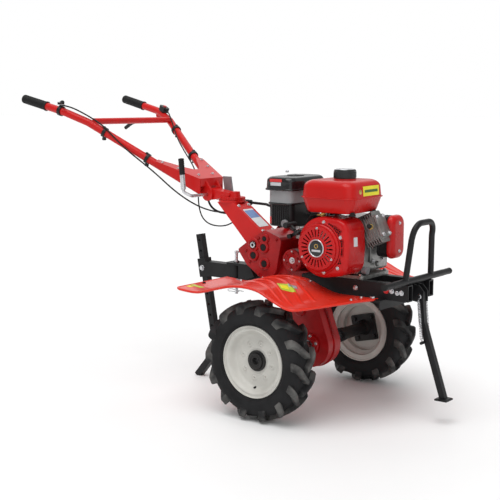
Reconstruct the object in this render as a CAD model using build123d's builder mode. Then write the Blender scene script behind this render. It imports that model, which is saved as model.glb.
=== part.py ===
"""Two-wheeled walk-behind mini cultivator: petrol engine, belt drive and gear case.

Everything is laid out from the point on the ground under the axle: +X forward, +Y left, +Z up,
millimetres. finish() then moves each piece so that the origin lies under the middle of the machine.
"""

from build123d import *
from math import acos, atan2, cos, degrees, hypot, pi, radians, sin, sqrt, tan
import os

os.makedirs("parts", exist_ok=True)

# Driving dimensions ------------------------------------------------------------------------------
AXLE_X = 329.5           # the axle's place ahead of the middle of the machine
RUN = 0.05               # radial clearance of a running fit
GAP = 0.3                # clearance between moving faces that are not a fit

TYRE_R = 200             # 4.00-8 tyre over its lugs
TYRE_W = 105
TRACK = 650              # between the middles of the two tyres
RIM_R = 120              # rim flange
BEAD_R = 101
RIM_W = 84
LUGS = 14                # lugs on each side of one tyre
LUG_H = 16
HUB_PLATE = 100          # square flange of the hub
HUB_TURN = 13            # angle of the square flange at rest
AXLE_Z = TYRE_R
AXLE_HEX = 15.5          # corner radius of the hexagonal axle
AXLE_BEARING_R = 17

GEAR_M = 3               # module of the gears in the leg
BOX_M = 2.5              # module of the gears in the box
GEAR_W = 16
FINAL_TEETH = 44
LOWER_TEETH = 40
UPPER_TEETH = 34
OUTPUT_TEETH = 34
LAY_TEETH = 28
INPUT_TEETH = 16
SHAFT_R = 12

LEG_HALF = 38            # half width of the leg of the gear case
BOX_HALF = 60            # half width of its upper box
WALL = 8

ENGINE = (132, 566)      # crankshaft axis, in X and Z
BED_TOP = 456
BED_BOTTOM = 402
RAIL_Y = 70
RAIL_W = 30

BAR_R = 11               # bumper cross tube
BAR_END_R = 10.5         # its turned ends, which take a clamp
BAR_END = 50
BAR_HALF = 219
BAR = (401, 467)
GUARD_R = 10

STAND_PIVOT = (415, 412)
STAND_TUBE = 20

HITCH_X = -354           # vertical hitch pin
HITCH_LOW = 392
HITCH_HIGH = 446
STAKE = 25               # square section of the drag stake
STAKE_TOP = (-526, 546)
STAKE_HEEL = (-446, 112)
STAKE_TIP = (-534, 12)

SWIVEL_X = -373          # vertical axis on which the handlebar swings
SWIVEL_Z = 684
TILT = (-465, 700)       # cross axis on which the handlebar tilts
TUBE_R = 14.5            # handlebar tube
GRIP_R = 17

BELT_Y = 133             # middle of the drive belt
ENGINE_PULLEY_R = 42
BOX_PULLEY_R = 76


# Helpers -----------------------------------------------------------------------------------------
def upright(y=0):
    """Plane across the machine at y, seen from its right side: X to the right and Z up."""
    return Plane.XZ.offset(-y)


def finish(piece, name):
    """Label one finished piece, move it to the machine's own frame and write it."""
    piece.part.label = name
    placed = piece.part.moved(Location((AXLE_X, 0, 0)))
    placed.label = name
    export_step(placed, f"parts/{name}.step")


def wrap(*circles):
    """Outline that wraps circles given as ((x, z), radius), as a belt would."""
    with BuildSketch(mode=Mode.PRIVATE) as outline:
        for centre, radius in circles:
            with Locations(centre):
                Circle(radius)
        make_hull()
    return outline.sketch


def bent_tube(points, bends, outer, inner=0):
    """Round tube along straight runs joined by arcs."""
    with BuildPart() as tube:
        with BuildLine() as path:
            FilletPolyline(*points, radius=bends)
        with BuildSketch(Plane(origin=path.line @ 0, z_dir=path.line % 0)):
            Circle(outer)
            if inner:
                Circle(inner, mode=Mode.SUBTRACT)
        sweep()
    return tube


def direction(start, end):
    """Angle in the XZ plane from one centre to another, in radians."""
    return atan2(end[1] - start[1], end[0] - start[0])


def mesh_phase(phase, teeth, centre, next_teeth, next_centre):
    """Angle of a tooth of the next gear, so that it meshes with a gear at the given phase."""
    towards = direction(centre, next_centre)
    back = towards + pi
    return back - (phase - towards) * teeth / next_teeth + pi / next_teeth


def gear_outline(teeth, module, phase):
    """Involute gear outline with chordal flanks and a little backlash."""
    pressure = radians(20)
    backlash = 0.12
    pitch_r = module * teeth / 2
    base_r = pitch_r * cos(pressure)
    root_r = pitch_r - 1.25 * module
    tip_r = pitch_r + 0.95 * module
    start_r = max(base_r, root_r + 0.2)
    steps = 4

    def half_angle(radius):
        turn = acos(min(1, base_r / radius))
        involute = tan(pressure) - pressure - (tan(turn) - turn)
        return pi / (2 * teeth) + involute - backlash / pitch_r / 2

    flank = [start_r + (tip_r - start_r) * k / steps for k in range(steps + 1)]
    points = []
    for tooth in range(teeth):
        middle = phase + 2 * pi * tooth / teeth
        side = [(r, half_angle(r)) for r in flank]
        side.insert(0, (root_r, half_angle(start_r) * 1.05))
        for r, half in side:
            points.append((r * cos(middle - half), r * sin(middle - half)))
        for r, half in reversed(side):
            points.append((r * cos(middle + half), r * sin(middle + half)))
    return points


def gear(teeth, module, centre, phase, y_low, width, shaft=None, hub_r=0, bore=0):
    """Spur gear on the Y axis; shaft gives its own shaft's radius and two ends."""
    with BuildPart() as wheel:
        with BuildSketch(upright(y_low + width)):
            with BuildLine():
                Polyline(*[(centre[0] + x, centre[1] + z) for x, z in gear_outline(teeth, module, phase)],
                         close=True)
            make_face()
        extrude(amount=width)
        if hub_r:
            with BuildSketch(upright(y_low + width + 6)):
                with Locations(centre):
                    Circle(hub_r)
            extrude(amount=width + 12)
        if shaft:
            radius, low, high = shaft
            with BuildSketch(upright(high)):
                with Locations(centre):
                    Circle(radius)
            extrude(amount=high - low)
        if bore:
            with BuildSketch(upright(BOX_HALF)):
                with Locations(centre):
                    RegularPolygon(bore, 6)
            extrude(amount=2 * BOX_HALF, mode=Mode.SUBTRACT)
    return wheel


# Gear centres: axle, two idlers up the leg, output, lay and input shafts ---------------------------
FINAL = (0, AXLE_Z)
LOWER = (-40, AXLE_Z + sqrt((GEAR_M * (FINAL_TEETH + LOWER_TEETH) / 2) ** 2 - 40 ** 2))
OUTPUT = (-179, 471)
lower_to_upper = GEAR_M * (LOWER_TEETH + UPPER_TEETH) / 2
upper_to_output = GEAR_M * (UPPER_TEETH + OUTPUT_TEETH) / 2
span = hypot(OUTPUT[0] - LOWER[0], OUTPUT[1] - LOWER[1])
along = (lower_to_upper ** 2 - upper_to_output ** 2 + span ** 2) / (2 * span)
aside = sqrt(lower_to_upper ** 2 - along ** 2)
rise = direction(LOWER, OUTPUT)
UPPER = (LOWER[0] + along * cos(rise) + aside * sin(rise), LOWER[1] + along * sin(rise) - aside * cos(rise))
if UPPER[0] < LOWER[0] + along * cos(rise):
    UPPER = (LOWER[0] + along * cos(rise) - aside * sin(rise), LOWER[1] + along * sin(rise) + aside * cos(rise))
box_step = BOX_M * (INPUT_TEETH + LAY_TEETH) / 2
INPUT = (-183, 529)
lay_angle = direction(OUTPUT, INPUT) + acos(hypot(OUTPUT[0] - INPUT[0], OUTPUT[1] - INPUT[1]) / 2 / box_step)
LAY = (OUTPUT[0] + box_step * cos(lay_angle), OUTPUT[1] + box_step * sin(lay_angle))

final_phase = direction(FINAL, LOWER)
lower_phase = mesh_phase(final_phase, FINAL_TEETH, FINAL, LOWER_TEETH, LOWER)
upper_phase = mesh_phase(lower_phase, LOWER_TEETH, LOWER, UPPER_TEETH, UPPER)
output_phase = mesh_phase(upper_phase, UPPER_TEETH, UPPER, OUTPUT_TEETH, OUTPUT)
lay_phase = direction(LAY, INPUT)
input_phase = mesh_phase(lay_phase, LAY_TEETH, LAY, INPUT_TEETH, INPUT)

LEG_SEAT = LEG_HALF - 3          # shaft ends sit this far out in blind holes of the leg
BOX_SEAT = BOX_HALF - 3
finish(gear(FINAL_TEETH, GEAR_M, FINAL, final_phase, -GEAR_W / 2, GEAR_W, hub_r=28, bore=AXLE_HEX + RUN),
       "final_gear")
finish(gear(LOWER_TEETH, GEAR_M, LOWER, lower_phase, -GEAR_W / 2, GEAR_W,
            shaft=(SHAFT_R, -LEG_SEAT + GAP, LEG_SEAT - GAP), hub_r=20), "idler_gear_lower")
finish(gear(UPPER_TEETH, GEAR_M, UPPER, upper_phase, -GEAR_W / 2, GEAR_W,
            shaft=(SHAFT_R, -LEG_SEAT + GAP, LEG_SEAT - GAP), hub_r=20), "idler_gear_upper")
finish(gear(OUTPUT_TEETH, GEAR_M, OUTPUT, output_phase, -GEAR_W / 2, GEAR_W,
            shaft=(SHAFT_R, -BOX_SEAT + GAP, BOX_SEAT - GAP), hub_r=20), "output_gear")
LAY_Y = 24                       # the input pair runs beside the output gear, on stub shafts
STUB_END = 17
finish(gear(LAY_TEETH, BOX_M, LAY, lay_phase, LAY_Y, GEAR_W,
            shaft=(SHAFT_R - 3, STUB_END, BOX_SEAT - GAP)), "lay_gear")
finish(gear(INPUT_TEETH, BOX_M, INPUT, input_phase, LAY_Y, GEAR_W,
            shaft=(SHAFT_R, STUB_END, BELT_Y + 18)), "input_shaft")

# Axle and wheels -----------------------------------------------------------------------------------
AXLE_END = TRACK / 2 + 6
with BuildPart() as axle_shaft:
    with BuildSketch(upright(AXLE_END)):
        with Locations(FINAL):
            RegularPolygon(AXLE_HEX, 6)
    extrude(amount=2 * AXLE_END)
    for side in (-1, 1):
        with BuildSketch(upright(side * (LEG_HALF - WALL / 2) + WALL / 2 + 6)):
            with Locations(FINAL):
                Circle(AXLE_BEARING_R)
        extrude(amount=WALL + 12)
finish(axle_shaft, "axle_shaft")

DISC_Y = TRACK / 2 + 7           # inner face of the wheel disc
DISC_T = 4
HUB_T = 8
BOLT_SQUARE = 72
SLEEVE_END = 150
RIM_FLANGE_Y = TRACK / 2 + RIM_W / 2


def wheel_plane():
    """Plane through the axle's own axis: local x is the radius and local y runs along +Y."""
    return Plane(origin=(0, 0, AXLE_Z), x_dir=(1, 0, 0), z_dir=(0, 0, 1))


with BuildPart() as wheel_hubs:
    with BuildSketch(wheel_plane()):
        with BuildLine():
            Polyline((0, SLEEVE_END), (25, SLEEVE_END), (25, SLEEVE_END + 24), (22, SLEEVE_END + 28),
                     (22, DISC_Y - 24), (30, DISC_Y - HUB_T), (34, DISC_Y - HUB_T), (34, DISC_Y + 12),
                     (26, DISC_Y + 12), (26, DISC_Y + 16), (0, DISC_Y + 16), close=True)
        make_face()
    revolve(axis=Axis((0, 0, AXLE_Z), (0, 1, 0)))
    with BuildSketch(upright(DISC_Y)):
        with Locations(Location((FINAL[0], FINAL[1]), HUB_TURN)):
            RectangleRounded(HUB_PLATE, HUB_PLATE, 8)
    extrude(amount=HUB_T)
    with BuildSketch(upright(DISC_Y + DISC_T)):
        with Locations(Location((FINAL[0], FINAL[1]), HUB_TURN)):
            with GridLocations(BOLT_SQUARE, BOLT_SQUARE, 2, 2):
                Circle(5)
    extrude(amount=DISC_T + HUB_T + 6)
    with BuildSketch(upright(DISC_Y - HUB_T)):
        with Locations(Location((FINAL[0], FINAL[1]), HUB_TURN)):
            with GridLocations(BOLT_SQUARE, BOLT_SQUARE, 2, 2):
                RegularPolygon(9, 6)
    extrude(amount=7)
    with BuildSketch(upright(AXLE_END + GAP)):
        with Locations(FINAL):
            RegularPolygon(AXLE_HEX + RUN, 6)
    extrude(amount=AXLE_END - SLEEVE_END + 1, mode=Mode.SUBTRACT)
    with BuildSketch(upright(DISC_Y + 17)):
        with Locations(FINAL):
            Circle(12)
    extrude(amount=DISC_Y + 17 - AXLE_END, mode=Mode.SUBTRACT)
    mirror(about=Plane.XZ)
finish(wheel_hubs, "wheel_hubs")


def rim(side):
    """Pressed steel rim with a dished disc, eight dimples, hub and bolt holes."""
    with BuildPart() as shell:
        with BuildSketch(wheel_plane()):
            with BuildLine():
                outer = RIM_FLANGE_Y
                inner = TRACK / 2 - RIM_W / 2
                Polyline((34 + GAP, DISC_Y), (84, DISC_Y), (84, inner + 28), (BEAD_R - 3, inner + 18),
                         (BEAD_R - 3, inner + 4), (RIM_R - 4, inner + 4), (RIM_R - 4, inner), (RIM_R, inner),
                         (RIM_R, inner + 7), (BEAD_R, inner + 8), (BEAD_R, inner + 20), (88, inner + 30),
                         (88, outer - 30), (BEAD_R, outer - 20), (BEAD_R, outer - 8), (RIM_R, outer - 7),
                         (RIM_R, outer), (RIM_R - 4, outer), (RIM_R - 4, outer - 4), (BEAD_R - 3, outer - 4),
                         (BEAD_R - 3, outer - 18), (84, outer - 27), (84, DISC_Y + DISC_T),
                         (34 + GAP, DISC_Y + DISC_T), close=True)
            make_face()
        revolve(axis=Axis((0, 0, AXLE_Z), (0, 1, 0)))
        with BuildSketch(upright(DISC_Y + DISC_T + 1)):
            with Locations(Location((FINAL[0], FINAL[1]), HUB_TURN)):
                with GridLocations(BOLT_SQUARE, BOLT_SQUARE, 2, 2):
                    Circle(5 + RUN)
        extrude(amount=DISC_T + 2, mode=Mode.SUBTRACT)
        if side < 0:
            mirror(about=Plane.XZ)
            split(bisect_by=Plane.XZ, keep=Keep.TOP)
    return shell


finish(rim(1), "rim_left")
finish(rim(-1), "rim_right")


def tyre(side):
    """Farm tyre: open carcass with two rows of slanting lugs."""
    mid = TRACK / 2
    tread_r = TYRE_R - LUG_H
    bead = RIM_W / 2 - 8 - GAP
    with BuildPart() as body:
        with BuildSketch(wheel_plane()):
            with BuildLine():
                Line((BEAD_R + RUN, mid - bead), (RIM_R + 1, mid - bead))
                Spline((RIM_R + 1, mid - bead), (133, mid - 47), (152, mid - TYRE_W / 2 + 2), (176, mid - 44),
                       (tread_r, mid), (176, mid + 44), (152, mid + TYRE_W / 2 - 2), (133, mid + 47),
                       (RIM_R + 1, mid + bead))
                Line((RIM_R + 1, mid + bead), (BEAD_R + RUN, mid + bead))
                Line((BEAD_R + RUN, mid + bead), (BEAD_R + RUN, mid + 22))
                Spline((BEAD_R + RUN, mid + 22), (120, mid + 27), (148, mid + 41), (168, mid + 34),
                       (tread_r - 11, mid), (168, mid - 34), (148, mid - 41), (120, mid - 27),
                       (BEAD_R + RUN, mid - 22))
                Line((BEAD_R + RUN, mid - 22), (BEAD_R + RUN, mid - bead))
            make_face()
        revolve(axis=Axis((0, 0, AXLE_Z), (0, 1, 0)))
    with BuildPart() as lug:
        with BuildSketch(Plane.XY.offset(AXLE_Z + tread_r - 16)):
            with BuildLine():
                Polyline((-9, mid - 5), (9, mid - 5), (48, mid + TYRE_W / 2), (24, mid + TYRE_W / 2), close=True)
            make_face()
        extrude(amount=LUG_H + 20)
        with BuildSketch(upright(mid + 60)):
            with Locations(FINAL):
                Circle(TYRE_R)
                Circle(tread_r - 13, mode=Mode.SUBTRACT)
        extrude(amount=70, mode=Mode.INTERSECT)
    with BuildPart() as whole:
        add(body.part)
        for row in (0, 1):
            for number in range(LUGS):
                turned = lug.part
                if row:
                    turned = turned.mirror(Plane.XZ.offset(-mid))
                add(turned.rotate(Axis((0, 0, AXLE_Z), (0, 1, 0)), 360 / LUGS * (number + row / 2)))
        if side < 0:
            mirror(about=Plane.XZ)
            split(bisect_by=Plane.XZ, keep=Keep.TOP)
    return whole


finish(tyre(1), "tyre_left")
finish(tyre(-1), "tyre_right")

# Gear case: two halves that split on the middle of the machine -------------------------------------
LEG_R = (80, 75, 63)             # outer radii of the leg round its three lower gears
leg_outline = [wrap((FINAL, LEG_R[0]), (LOWER, LEG_R[1])), wrap((LOWER, LEG_R[1]), (UPPER, LEG_R[2])),
               wrap((UPPER, LEG_R[2]), (OUTPUT, 62))]
leg_hollow = [wrap((FINAL, LEG_R[0] - WALL), (LOWER, LEG_R[1] - WALL)),
              wrap((LOWER, LEG_R[1] - WALL), (UPPER, LEG_R[2] - WALL)),
              wrap((UPPER, LEG_R[2] - WALL), (OUTPUT, 62 - WALL))]
box_outline = wrap((OUTPUT, 54), (INPUT, 42), (LAY, 48), ((-289, 511), 8), ((-252, 537), 8),
                   ((-178, 582), 8), ((-128, 552), 20))
box_hollow = wrap((OUTPUT, 54 - WALL), (INPUT, 42 - WALL), (LAY, 48 - WALL))
BOSS = (-64, 492)
BOSS_R = 40
PAD_FRONT = -2                   # flat pad on the leg, where the engine bed is bolted
COVER_HOLES = [(INPUT, 11.5), (LAY, 11.5), (OUTPUT, 11.5), ((-178, 560), 8)]
FILLER = (-227, 535)
LEVER_PIN = (-166, 610)


def gearcase(side):
    """One half of the gear case; side is -1 for the right half."""
    far = side * 100
    with BuildPart() as half:
        with BuildSketch(Plane.XZ):
            for outline in leg_outline:
                add(outline)
            with Locations((PAD_FRONT - 30, 429)):
                Rectangle(60, 54)
        extrude(amount=-side * LEG_HALF)
        with BuildSketch(Plane.XZ):
            add(box_outline)
        extrude(amount=-side * BOX_HALF)
        with BuildSketch(Plane.XZ):
            with Locations(BOSS):
                Circle(BOSS_R)
        extrude(amount=-side * (BOX_HALF - 6))
        with BuildSketch(Plane.XZ):
            for outline in leg_hollow:
                add(outline)
        extrude(amount=-side * (LEG_HALF - WALL), mode=Mode.SUBTRACT)
        with BuildSketch(Plane.XZ):
            add(box_hollow)
        extrude(amount=-side * (BOX_HALF - WALL), mode=Mode.SUBTRACT)
        for centre, radius in ((LOWER, SHAFT_R), (UPPER, SHAFT_R)):
            with BuildSketch(Plane.XZ):
                with Locations(centre):
                    Circle(radius + RUN)
            extrude(amount=-side * LEG_SEAT, mode=Mode.SUBTRACT)
        for centre, radius in ((OUTPUT, SHAFT_R), (LAY, SHAFT_R - 3)):
            with BuildSketch(Plane.XZ):
                with Locations(centre):
                    Circle(radius + RUN)
            extrude(amount=-side * BOX_SEAT, mode=Mode.SUBTRACT)
        with BuildSketch(Plane.XZ):
            with Locations(FINAL):
                Circle(AXLE_BEARING_R + RUN)
        extrude(amount=-far, mode=Mode.SUBTRACT)
        if side > 0:
            with BuildSketch(Plane.XZ):
                with Locations(INPUT):
                    Circle(SHAFT_R + RUN)
            extrude(amount=-far, mode=Mode.SUBTRACT)
            with BuildSketch(upright(LEG_HALF)):
                with Locations(BOSS):
                    Circle(9)
            extrude(amount=-(BELT_Y - LEG_HALF - 9))
            with BuildSketch(upright(BOX_HALF)):
                add(wrap((LEVER_PIN, 9), ((LEVER_PIN[0], LEVER_PIN[1] - 30), 10)))
                with Locations(LEVER_PIN):
                    Circle(4 + RUN, mode=Mode.SUBTRACT)
            extrude(amount=4 - GAP)
        else:
            for centre, radius in [*COVER_HOLES, (FILLER, 14)]:
                with BuildSketch(upright(-BOX_HALF)):
                    with Locations(centre):
                        Circle(radius + 7)
                extrude(amount=3)
    return half


finish(gearcase(-1), "gearcase_right")
finish(gearcase(1), "gearcase_left")

with BuildPart() as case_plugs:
    for centre, radius in COVER_HOLES:
        with BuildSketch(upright(-BOX_HALF - 3)):
            with Locations(centre):
                Circle(radius)
        extrude(amount=3)
    with BuildSketch(upright(-BOX_HALF - 3)):
        with Locations(FILLER):
            Circle(12)
    extrude(amount=6)
finish(case_plugs, "case_plugs")

# Belt drive ------------------------------------------------------------------------------------------
GROOVE = 9                        # depth of the pulley groove
BELT_W = 15


def pulley(centre, radius, shaft_r):
    """Flat-sided V-belt pulley with one groove."""
    with BuildPart() as wheel:
        with BuildSketch(Plane(origin=(centre[0], 0, centre[1]), x_dir=(1, 0, 0), z_dir=(0, 0, 1))):
            with BuildLine():
                half = BELT_W / 2 + 5
                Polyline((shaft_r + RUN, BELT_Y - half), (radius + 3, BELT_Y - half),
                         (radius + 3, BELT_Y - half + 2.5), (radius - GROOVE, BELT_Y - BELT_W / 2 + 1),
                         (radius - GROOVE, BELT_Y + BELT_W / 2 - 1), (radius + 3, BELT_Y + half - 2.5),
                         (radius + 3, BELT_Y + half), (shaft_r + RUN, BELT_Y + half), close=True)
            make_face()
        revolve(axis=Axis((centre[0], 0, centre[1]), (0, 1, 0)))
    return wheel


finish(pulley(ENGINE, ENGINE_PULLEY_R, 13), "engine_pulley")
finish(pulley(INPUT, BOX_PULLEY_R, SHAFT_R), "gearbox_pulley")

with BuildPart() as drive_belt:
    with BuildSketch(upright(BELT_Y + BELT_W / 2 - 2.5)):
        add(wrap((ENGINE, ENGINE_PULLEY_R + 1), (INPUT, BOX_PULLEY_R + 1)))
        add(wrap((ENGINE, ENGINE_PULLEY_R - 7), (INPUT, BOX_PULLEY_R - 7)), mode=Mode.SUBTRACT)
    extrude(amount=BELT_W - 5)
finish(drive_belt, "drive_belt")

TENSION_R = 20
TENSION_WHEEL = (-14, 532)
with BuildPart() as tension_arm:
    with BuildSketch(upright(BELT_Y - 10)):
        add(wrap((BOSS, 15), (TENSION_WHEEL, 11)))
        with Locations(BOSS):
            Circle(9 + RUN, mode=Mode.SUBTRACT)
    extrude(amount=6)
    with BuildSketch(upright(BELT_Y + 10)):
        with Locations(TENSION_WHEEL):
            Circle(TENSION_R)
    extrude(amount=20)
finish(tension_arm, "tension_arm")

COVER_LOW = 112
COVER_HIGH = 160
with BuildPart() as belt_cover:
    with BuildSketch(upright(COVER_HIGH)):
        add(wrap((ENGINE, ENGINE_PULLEY_R + 22), (INPUT, BOX_PULLEY_R + 10)))
    extrude(amount=COVER_HIGH - COVER_LOW)
    fillet(belt_cover.edges().group_by(Axis.Y)[-1], 10)
    with BuildSketch(upright(COVER_HIGH - 3)):
        add(wrap((ENGINE, ENGINE_PULLEY_R + 19), (INPUT, BOX_PULLEY_R + 7)))
    extrude(amount=COVER_HIGH, mode=Mode.SUBTRACT)
    with BuildSketch(upright(COVER_HIGH - 2)):
        with Locations((-20, 560)):
            Circle(8)
    extrude(amount=COVER_HIGH - 2 - 106)
finish(belt_cover, "belt_cover")

# Engine bed, bumper and front stand ------------------------------------------------------------------
BED_REAR = PAD_FRONT
with BuildPart() as engine_bed:
    with BuildSketch(Plane.YZ.offset(BED_REAR)):
        for side in (-1, 1):
            with Locations((side * RAIL_Y, (BED_TOP + BED_BOTTOM) / 2)):
                Rectangle(RAIL_W, BED_TOP - BED_BOTTOM)
                Rectangle(RAIL_W - 8, BED_TOP - BED_BOTTOM - 8, mode=Mode.SUBTRACT)
    extrude(amount=BAR[0] + 11 - BED_REAR)
    for x in (BED_REAR + 3, 215, 388):
        with BuildSketch(Plane.YZ.offset(x - 3)):
            with Locations((0, (BED_TOP + BED_BOTTOM) / 2)):
                Rectangle(2 * RAIL_Y - RAIL_W + 2, BED_TOP - BED_BOTTOM)
        extrude(amount=6)
    with BuildSketch(Plane.XZ):
        with Locations((315, BED_BOTTOM - 1.5)):
            Rectangle(36, 8)
        with Locations((331, BED_BOTTOM - 14)):
            Rectangle(4, 28)
    extrude(amount=128, both=True)
    for side in (-1, 1):
        with BuildSketch(upright(side * 13.5 + 2.5)):
            with BuildLine():
                Polyline((391, BED_TOP - 6), (391, 396), (402, 394), (430, 394), (430, 430), (412, BED_TOP - 6),
                         close=True)
            make_face()
            with Locations(STAND_PIVOT):
                Circle(6 + RUN, mode=Mode.SUBTRACT)
        extrude(amount=5)
finish(engine_bed, "engine_bed")

GUARD_FOOT_Y = 80
GUARD_TOP = 640
guard = bent_tube([(BAR[0], -GUARD_FOOT_Y - 4, BAR[1] + 2), (411, -67, 604), (421, -60, GUARD_TOP + 14),
                   (421, 60, GUARD_TOP + 14), (411, 67, 604), (BAR[0], GUARD_FOOT_Y + 4, BAR[1] + 2)],
                  [60, 42, 42, 60], GUARD_R)
with BuildPart() as bumper:
    with BuildSketch(Plane.XZ):
        with Locations(BAR):
            Circle(BAR_R)
    extrude(amount=BAR_HALF - BAR_END, both=True)
    with BuildSketch(Plane.XZ):
        with Locations(BAR):
            Circle(BAR_END_R)
    extrude(amount=BAR_HALF, both=True)
    add(guard.part)
finish(bumper, "bumper")

STAND_KNEE = (422, 327)
STAND_FOOT = (503, 83)
LUG_Z = 262
SPRING_Y = 24
leg_path = [(STAND_PIVOT[0] - 1, 0, STAND_PIVOT[1] + 12), (STAND_KNEE[0], 0, STAND_KNEE[1]),
            (STAND_FOOT[0], 0, STAND_FOOT[1])]
with BuildPart() as stand_leg:
    with BuildLine() as leg_line:
        FilletPolyline(*leg_path, radius=30)
    with BuildSketch(Plane(origin=leg_line.line @ 0, x_dir=(0, 1, 0), z_dir=leg_line.line % 0)):
        Rectangle(STAND_TUBE, STAND_TUBE)
        Rectangle(STAND_TUBE - 4, STAND_TUBE - 4, mode=Mode.SUBTRACT)
    sweep()
    with BuildSketch(Plane.XY.offset(STAND_FOOT[1] - 4)):
        with Locations((STAND_FOOT[0], 0)):
            RectangleRounded(46, 50, 5)
    extrude(amount=4)
    for centre, reach in ((STAND_PIVOT, 30), ((432, LUG_Z), 30)):
        with BuildSketch(upright(reach)):
            with Locations(centre):
                Circle(6 if centre == STAND_PIVOT else 5)
        extrude(amount=2 * reach)
finish(stand_leg, "stand_leg")

with BuildPart() as stand_springs:
    for side in (-1, 1):
        with BuildLine() as spring_line:
            Line((STAND_PIVOT[0] + 1, side * SPRING_Y, STAND_PIVOT[1] - 7), (431, side * SPRING_Y, LUG_Z + 6))
        with BuildSketch(Plane(origin=spring_line.line @ 0, z_dir=spring_line.line % 0)):
            Circle(5)
            Circle(2.6, mode=Mode.SUBTRACT)
        sweep()
finish(stand_springs, "stand_springs")

# Fenders: one bent sheet over each wheel ---------------------------------------------------------------
FENDER_T = 3
FENDER_IN = 108
FENDER_OUT = TRACK / 2 + 72
FENDER_LINE = [(-309, 415), (-212, 411), (-140, 428), (-75, 444), (-15, 449), (45, 442), (95, 424), (150, 408),
               (200, 405), (318, 405)]


with BuildLine(upright()) as fender_curve:
    Spline(*FENDER_LINE)


def fender_height(x):
    """Height of the fenders' underside at x."""
    low, high = 0, 1
    for _ in range(30):
        middle = (low + high) / 2
        if (fender_curve.line @ middle).X < x:
            low = middle
        else:
            high = middle
    return (fender_curve.line @ low).Z


def over_fender():
    """Everything that lies above the fenders' underside."""
    with BuildSketch(mode=Mode.PRIVATE) as above:
        with BuildLine():
            Spline(*FENDER_LINE)
            Polyline(FENDER_LINE[-1], (FENDER_LINE[-1][0] + 60, FENDER_LINE[-1][1]),
                     (FENDER_LINE[-1][0] + 60, 600), (FENDER_LINE[0][0], 600), FENDER_LINE[0])
        make_face()
    return above.sketch


def fender(side):
    """Mudguard sheet: flat behind, arched over the wheel and cut back at its front corner."""
    with BuildPart() as sheet:
        with BuildSketch(upright(FENDER_OUT)):
            with BuildLine():
                Spline(*FENDER_LINE)
                Line(FENDER_LINE[-1], (FENDER_LINE[-1][0], FENDER_LINE[-1][1] + FENDER_T))
                Spline(*[(x, z + FENDER_T) for x, z in reversed(FENDER_LINE)])
                Line((FENDER_LINE[0][0], FENDER_LINE[0][1] + FENDER_T), FENDER_LINE[0])
            make_face()
        extrude(amount=FENDER_OUT - FENDER_IN)
        with BuildSketch(Plane.XY.offset(300)):
            with BuildLine():
                Polyline((-330, FENDER_IN - 10), (330, FENDER_IN - 10), (318, FENDER_IN + 6), (184, FENDER_OUT),
                         (-330, FENDER_OUT), close=True)
            make_face()
        extrude(amount=200, mode=Mode.INTERSECT)
        if side < 0:
            mirror(about=Plane.XZ)
            split(bisect_by=Plane.XZ, keep=Keep.TOP)
    return sheet


finish(fender(1), "fender_left")
finish(fender(-1), "fender_right")

# Hitch, drawbar and drag stake ----------------------------------------------------------------------------
PIN_R = 6
with BuildPart() as hitch_bracket:
    for low, high in ((HITCH_LOW - 8, HITCH_LOW - GAP), (HITCH_HIGH + GAP, HITCH_HIGH + 8)):
        with BuildSketch(Plane.XY.offset(low)):
            with BuildLine():
                Polyline((-318, -28), (-378, -28), (-386, -20), (-386, 20), (-378, 28), (-318, 28), close=True)
            make_face()
            with Locations((HITCH_X, 0)):
                Circle(PIN_R + RUN, mode=Mode.SUBTRACT)
        extrude(amount=high - low)
    with BuildSketch(Plane.XZ):
        with BuildLine():
            Polyline((-324, HITCH_HIGH + 8), (-324, HITCH_LOW - 8), (-232, HITCH_LOW - 8), (-232, 397),
                     (-250, 411), (-275, HITCH_HIGH + 8), close=True)
        make_face()
    extrude(amount=28, both=True)
    with BuildSketch(Plane.XZ):
        with Locations((-247, 405)):
            Rectangle(30, 18)
        add(over_fender(), mode=Mode.SUBTRACT)
    extrude(amount=FENDER_IN + 30, both=True)
    with BuildSketch(upright(50)):
        add(box_outline)
        for outline in leg_outline:
            add(outline)
    extrude(amount=100, mode=Mode.SUBTRACT)
finish(hitch_bracket, "hitch_bracket")

stake_line = (STAKE_HEEL[0] - STAKE_TOP[0], STAKE_HEEL[1] - STAKE_TOP[1])
stake_length = hypot(*stake_line)
STAKE_DIR = (stake_line[0] / stake_length, 0, stake_line[1] / stake_length)


def on_stake(height):
    """Point on the middle line of the straight part of the stake."""
    share = (height - STAKE_TOP[1]) / stake_line[1]
    return (STAKE_TOP[0] + stake_line[0] * share, 0, height)


SLEEVE_HIGH = 456
SLEEVE_LOW = 386
SLEEVE = STAKE + 12
sleeve_top = Plane(origin=on_stake(SLEEVE_HIGH), x_dir=(0, 1, 0), z_dir=STAKE_DIR)
with BuildPart() as drawbar:
    with BuildSketch(Plane.XY.offset(HITCH_LOW)):
        with Locations((HITCH_X, 0)):
            Circle(20)
        with Locations(((HITCH_X + on_stake(420)[0]) / 2, 0)):
            Rectangle(HITCH_X - on_stake(420)[0], 40)
    extrude(amount=HITCH_HIGH - HITCH_LOW)
    with BuildSketch(sleeve_top):
        Rectangle(SLEEVE, SLEEVE)
    extrude(amount=SLEEVE_HIGH - SLEEVE_LOW)
    with BuildSketch(sleeve_top.offset(-60)):
        Rectangle(STAKE + 2 * GAP, STAKE + 2 * GAP)
    extrude(amount=200, mode=Mode.SUBTRACT)
    with BuildSketch(sleeve_top.offset(-60)):
        with Locations((0, -SLEEVE / 2 - 40)):
            Rectangle(90, 80)
    extrude(amount=200, mode=Mode.SUBTRACT)
    with BuildSketch(Plane.XY.offset(HITCH_LOW)):
        with Locations((HITCH_X, 0)):
            Circle(PIN_R + RUN)
    extrude(amount=HITCH_HIGH - HITCH_LOW, mode=Mode.SUBTRACT)
finish(drawbar, "drawbar")

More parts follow.
